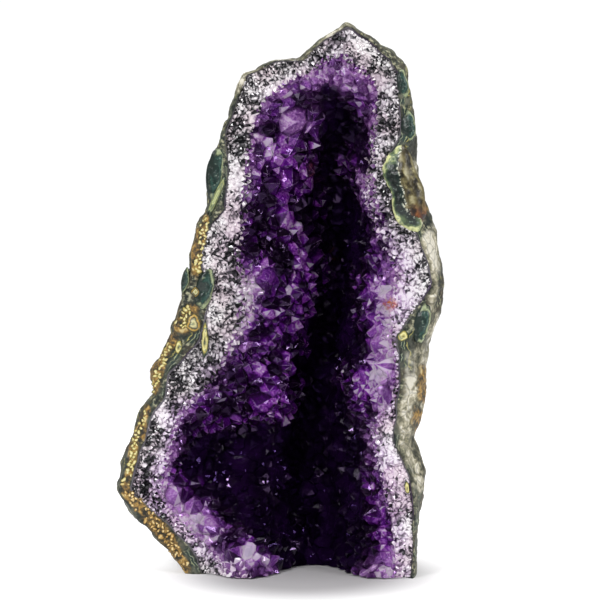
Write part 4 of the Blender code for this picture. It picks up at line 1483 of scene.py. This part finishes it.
@dataclass(frozen=True)
class BeadRows:
    """The small ochre beads along the edge."""

    wall: Wall
    rings: int = 5
    sides: int = 12
    tries_per_mm: int = 13
    radius: tuple = (0.5, 1.3)  # the least and the most, in millimetres
    spacing: float = 1.35
    margin: float = 0.3 * MM
    sunk: tuple = (0.1 * MM, 0.9 * MM)  # how far they lie back, and how much more at the outline
    height: float = 0.6
    longest: float = 1.5

    def _seats(self, rng: np.random.Generator) -> tuple[Array, Array]:
        """The middles of the beads, as x and z, and their radii."""
        middles = []
        for x0, z0, x1, z1, width in BEADS_MM:
            length = math.hypot(x1 - x0, z1 - z0)
            along = rng.uniform(0, 1, round(self.tries_per_mm * length))
            across = rng.uniform(-width, width, len(along))
            x = x0 + (x1 - x0) * along + (z1 - z0) / length * across
            z = z0 + (z1 - z0) * along - (x1 - x0) / length * across
            middles.append(np.stack([x, z], axis=1) * MM)
        middle = np.concatenate(middles)
        radius = rng.uniform(*self.radius, len(middle)) * MM
        kept = spread_out(middle, self.spacing * radius, np.full(len(middle), 1e9))
        return middle[kept], radius[kept]

    def build(self) -> bpy.types.Object:
        """Makes all the beads as one piece: long, lumpy and flattened half spheres."""
        rng = np.random.default_rng(5)
        middle, radius = self._seats(rng)
        turn = np.linspace(0.15, math.pi / 2 + 0.5, self.rings)
        angle, right, up = circle(self.sides)
        sample = self.wall.nearest(middle[:, 0], middle[:, 1])
        inside = dot(middle - self.wall.plan[sample], self.wall.inward[sample]) - radius
        middle = middle + self.wall.inward[sample] * np.maximum(0, self.margin - inside)[:, None]
        y = self.wall.front[sample] + self.sunk[0] + smoothstep(1.2 * MM, 0.2 * MM, inside) * self.sunk[1]
        plan = np.sin(turn)[:, None, None] * np.stack([right, up], axis=-1)
        long = rng.uniform(1.0, self.longest, len(middle))[:, None] * np.array([1, 0]) + np.array([0, 1])
        bend = rng.uniform(0, 2 * math.pi, (len(middle), 1))
        lumpy = 1 + 0.22 * np.sin(2 * angle + bend) + 0.14 * np.sin(3 * angle + 2.3 * bend)
        plan = plan[None] * long[:, None, None] * lumpy[:, None, :, None]
        twist = rng.uniform(0, math.pi, len(middle))
        turned = np.array([[np.cos(twist), np.sin(twist)], [-np.sin(twist), np.cos(twist)]])
        plan = np.einsum("brai,ijb->braj", plan, turned)
        grid = middle[:, None, None] + plan * radius[:, None, None, None]
        depth = y[:, None, None] - np.cos(turn)[None, :, None] * radius[:, None, None] * self.height
        points, faces = closed_rings(raised(grid, np.broadcast_to(depth, grid.shape[:3])))
        # How far up its dome each point lies, which the beads' finish paints as shade at the foot and a
        # highlight on top.
        rise = np.append(np.repeat(np.cos(turn).clip(0, 1), self.sides), (1.0, 0.0))
        values = {"rise": np.tile(rise, len(middle)), "height_mm": points[:, 2] / MM}
        finish = OchreBeads().build()
        made = make_piece("ochre_beads", points, faces, finish, smooth=True, cut=0.0, point=values)
        return made


@dataclass(frozen=True)
class Crystals:
    """The crystals of the hollow and the milky quartz that they stand on."""

    face: OpenFace
    spacing: float = 4.5 * MM
    spacing_fine: float = 2.6 * MM  # at the top right
    spacing_edge: float = 2.5 * MM
    cut: float = 0.45 * MM
    base_depth: tuple = (1.4 * MM, 3.6 * MM)  # under the band, and how much more in the hollow
    base_rings: int = 150
    base_cut: float = 0.4 * MM
    base_tuck: float = 1.2 * MM

    def size(self, points: Array) -> Array:
        """How far apart crystals stand: wide left of the crack, close where violet ends."""
        x, z = points[:, 0], points[:, 2]
        inside = self.spacing * (1 + 0.25 * bump(x, z, np.array((0, 100, 18, 60)) * MM))
        fine = smoothstep(30 * MM, 35 * MM, x) * smoothstep(100 * MM, 118 * MM, z)
        inside = inside + (self.spacing_fine - inside) * fine
        edge = smoothstep(6 * MM, -1 * MM, within(points, VIOLET_MM))
        return inside + (self.spacing_edge - inside) * edge

    def looks(self, points: Array, luck: Array) -> dict[str, Array]:
        """What the materials need to know at each point.

        Args:
            points: Places, with x, y and z on the last axis.
            luck: A chance for each of them, from 0 to 1.

        Returns:
            By name, from 0 to 1: how pale the quartz is outside the violet and in milky
            patches, how dark it is down in the crack and in shaded pockets, how much light it
            catches, and how rusty it is.
        """
        own = 5 * MM * (luck - 0.5)
        inside = within(points, VIOLET_MM) + 3 * MM * cloud(points, 8 * MM, 5, 2) + own
        pale = (smoothstep(4 * MM, -3 * MM, inside) + 0.75 * patches(points, MILKY_MM)).clip(0, 1)
        deep = within(points, GLOOM_MM) + 2.5 * MM * cloud(points, 9 * MM, 12, 2) + own
        pocket = smoothstep(0.25, 0.7, cloud(points, 9 * MM, 14, 2) + 0.5 * (luck - 0.5))
        pocket = np.maximum(0.8 * pocket, 0.9 * patches(points, SHADE_MM))
        lit = patches(points, LIT_MM)
        gloom = np.maximum(smoothstep(-3 * MM, 4.5 * MM, deep), pocket * (1 - 0.6 * lit))
        return {
            "pale": pale * (1 - gloom),
            "gloom": gloom,
            "lit": smoothstep(0.3, 0.8, lit) * (1 - gloom),
            "rust": smoothstep(0.3, 0.9, patches(points, RUST_MM)),
        }

    def build(self) -> list[bpy.types.Object]:
        """Makes the clear crystals, their clouded cores and their base."""
        bed = Bed(self.face, BedPlan(
            roll=self.face.disc, low=None, high=self.face.turn + 0.16, size=self.size, rise=0.55,
            tallest=3.6 * MM, sink=0.24, lean=0.22, shoulder=0.04, dive=1.4 * MM, spread=0.45,
            candidates=70000, seed=7, chosen=NOTED_CRYSTALS,
        ))
        luck = np.random.default_rng(15).uniform(0, 1, len(bed.seat))
        looks = {name: bed.spread(value) for name, value in self.looks(bed.seat, luck).items()}
        made = []
        for name, finish, *sizes in (
            ("amethyst_crystals", ClearAmethyst(), 1.0, 0.0, 4 * MM),
            ("amethyst_cores", CloudedCore(), 0.8, 0.5 * MM, 7 * MM),
        ):
            points, faces, own = bed.solid(*sizes)
            own["point"].update(looks)
            piece = make_piece(name, points, [faces], finish.build(), cut=self.cut, **own)
            made.append(piece)
        return [*made, self._base()]

    def _base(self) -> bpy.types.Object:
        """The opaque quartz under the crystals and behind the band, closed at the back."""
        face, wall, form = self.face, self.face.wall, self.face.form
        places = np.arange(0.0, face.count, 2)
        place, share = np.meshgrid(places, np.linspace(2.0, 0.0, self.base_rings))
        top = face.points(place, share)
        shallow, deeper = self.base_depth
        depth = shallow + deeper * smoothstep(-1 * MM, 9 * MM, within(top, VIOLET_MM))
        top[..., 1] += depth * smoothstep(2.0, 1.9, share)
        top[-1] = top[-1].mean(axis=0)
        back = wall.dome(INNER_RINGS, form.rock_rim + form.joint_gap, form.rock_back + form.joint_gap)
        edge = wall.skin + wall.rind
        tuck = raised(wall.inset(np.maximum(edge - 1 * MM, 0.8 * edge)), wall.front + self.base_tuck)
        points, faces = closed_rings([np.concatenate([back[:, ::2], tuck[None, ::2], top])])
        looks = self.looks(points, np.full(len(points), 0.5))
        outer = np.concatenate([np.ones((len(back) + 1) * len(places)), share.reshape(-1) / 2, [0.5, 0.5]])
        # Painted shade: the base darkens under the outer part of the band and over its back.
        looks["gloom"] = np.maximum(looks["gloom"], 0.85 * smoothstep(0.9, 0.97, outer))
        finish = MilkyQuartz().build()
        made = make_piece("quartz_base", points, faces, finish, smooth=True, cut=self.base_cut, point=looks)
        return made


@dataclass(frozen=True)
class Band:
    """The pale granular quartz between the agate and the crystals."""

    face: OpenFace
    spacing: tuple = (1.35 * MM, 0.75 * MM)  # by the agate, and how much more by the violet
    cut: float = 0.4 * MM

    def size(self, points: Array) -> Array:
        """How far apart the grains stand: closer near the agate."""
        close, more = self.spacing
        return close + more * smoothstep(-9 * MM, 0, within(points, VIOLET_MM))

    def build(self) -> bpy.types.Object:
        """Makes the grains as one bed."""
        points, faces, looks = Bed(self.face, BedPlan(
            roll=self.face.strip, low=self.face.turn - 0.06, high=np.full(self.face.count, 2.0),
            size=self.size, rise=0.5, tallest=1.2 * MM, sink=0.3, lean=0.2, shoulder=0.06,
            dive=0.9 * MM, spread=0.35, candidates=90000, seed=3,
        )).solid(1.0, 0.0, 1.6 * MM)
        values = looks["point"]
        x, z = points[:, 0], points[:, 2]
        white = patches(points, WHITE_MM) - patches(points, DARK_MM)
        # Painted shade: the grains are darker down in the valleys between them and lighter on their tips.
        tone = 0.36 + 0.58 * (values["chance"] - 0.5) + 0.25 * (values["tip"] - 0.3)
        tone = tone + 0.32 * white + 0.26 * cloud(points, 7 * MM, 9, 2)
        inside = within(points, VIOLET_MM) + 2.5 * MM * cloud(points, 6 * MM, 6, 2)
        lilac = smoothstep(-11 * MM, 1.5 * MM, inside) * (1 - 0.7 * smoothstep(105 * MM, 140 * MM, z))
        lilac = lilac * (1 - 0.6 * smoothstep(0, -10 * MM, x) * smoothstep(62 * MM, 75 * MM, z))
        rust = smoothstep(0.3, 0.9, patches(points, RUST_MM))
        made = make_piece(
            "quartz_grains", points, [faces], GranularQuartz().build(), cut=self.cut,
            point={"tone": tone, "lilac": lilac, "rust": rust}, face=looks["face"],
        )
        return made


# Studio


@dataclass(frozen=True)
class Studio:
    """The plain pale studio, and the camera at the photograph's angle."""

    distance: float = 900 * MM
    elevation: float = 5.0
    target: tuple = (6.7 * MM, -20 * MM, 89.3 * MM)
    view_width: float = 196.2 * MM
    sensor_width: float = 36.0
    sky_front: float = 0.12
    sky_back: float = 0.35
    sky_seen: float = 1.05
    floor_radius: float = 450 * MM
    shadow_middle: tuple = (8 * MM, -30 * MM, 0.0)
    shadow_fade: tuple = (20 * MM, 58 * MM)
    glow: float = 0.85
    lamps: tuple = (  # square lamps: name, place, size and power
        ("softbox_left", (-0.55, -0.75, 0.80), 0.28, 8.0),
        ("softbox_right", (0.75, -0.55, 0.45), 0.25, 3.5),
        ("softbox_top", (0.10, 0.05, 1.00), 0.40, 5.0),
    )

    def build(self) -> None:
        """Makes the camera, the floor, the sky and the lamps."""
        scene = bpy.context.scene
        camera = bpy.data.cameras.new("camera")
        camera.sensor_width = self.sensor_width
        camera.lens = self.sensor_width * self.distance / self.view_width
        turn = math.radians(self.elevation)
        away = Vector((0, -math.cos(turn), math.sin(turn)))
        scene.camera = self._aimed("camera", camera, Vector(self.target) + away * self.distance)
        self._floor()
        self._sky()
        for name, place, size, power in self.lamps:
            lamp = bpy.data.lights.new(name, "AREA")
            lamp.size, lamp.energy = size, power
            self._aimed(name, lamp, Vector(place))
        scene.view_settings.view_transform = "Standard"

    def _aimed(self, name: str, data: bpy.types.ID, place: Vector) -> bpy.types.Object:
        """A camera or a lamp at a place, turned to the middle of the stone."""
        made = bpy.data.objects.new(name, data)
        made.location = place
        made.rotation_euler = (Vector(self.target) - place).to_track_quat("-Z", "Y").to_euler()
        bpy.context.scene.collection.objects.link(made)
        return made

    def _floor(self) -> None:
        """A pale grey table that glows as painted light away from the stone, so that only a contact shadow
        shows, partly cast by the lamps and partly painted where the glow fades.
        """
        angle, right, up = circle(96)
        graph = Graph("floor_painted_glow")
        away = graph.place.to(Step.DISTANCE, self.shadow_middle)
        # Painted light: the glow fades out towards the stone, leaving the grey table as painted shade around
        # it.
        finish = graph.feed(
            Base_Color="#b0aeb0", Roughness=0.9, Specular_IOR_Level=0.0,
            Emission_Color="#ffffff", Emission_Strength=away.to(Step.SPAN, *self.shadow_fade) * self.glow,
        )
        edge = np.stack([right, up, 0 * angle], axis=1) * self.floor_radius
        floor = make_piece("floor", edge, [np.arange(len(angle))[None]], finish)

    def _sky(self) -> None:
        """A white surround that lights the stone softly, less so from behind the camera."""
        world = bpy.data.worlds.new("soft_surround")
        world.use_nodes = True
        add = partial(add_node, world.node_tree)
        side = add(Step.DIRECTION).to(Step.DEPTH).to(Step.SPAN, -0.7, 0.2)
        light = side.to(Step.BETWEEN, self.sky_front, self.sky_back)
        sky = world.node_tree.nodes["Background"]
        plug(sky.inputs[0], "#ffffff")
        plug(sky.inputs[1], add(Step.SEEN).to(Step.BETWEEN, light, self.sky_seen))
        bpy.context.scene.world = world


def main() -> None:
    """Builds the cluster and the studio."""
    logging.basicConfig(level=logging.INFO, format="%(name)s: %(message)s")
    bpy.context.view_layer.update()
    wall = Wall(GeodeForm(), 0.7 * MM)
    face = OpenFace(wall)
    rock = RockWall(wall).build()
    edge = [*AgateNodules(wall).build(), BeadRows(wall).build()]
    grains = Band(face).build()
    crystals, cores, base = Crystals(face).build()
    for piece in (rock, *edge, grains, crystals, cores, base):
        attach(piece, "root")
        LOG.info("%s: %d faces", piece.name, len(piece.data.polygons))
    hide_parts("rock_shell")
    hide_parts("crystal_crust")
    Studio().build()


if __name__ == "__main__":
    main()
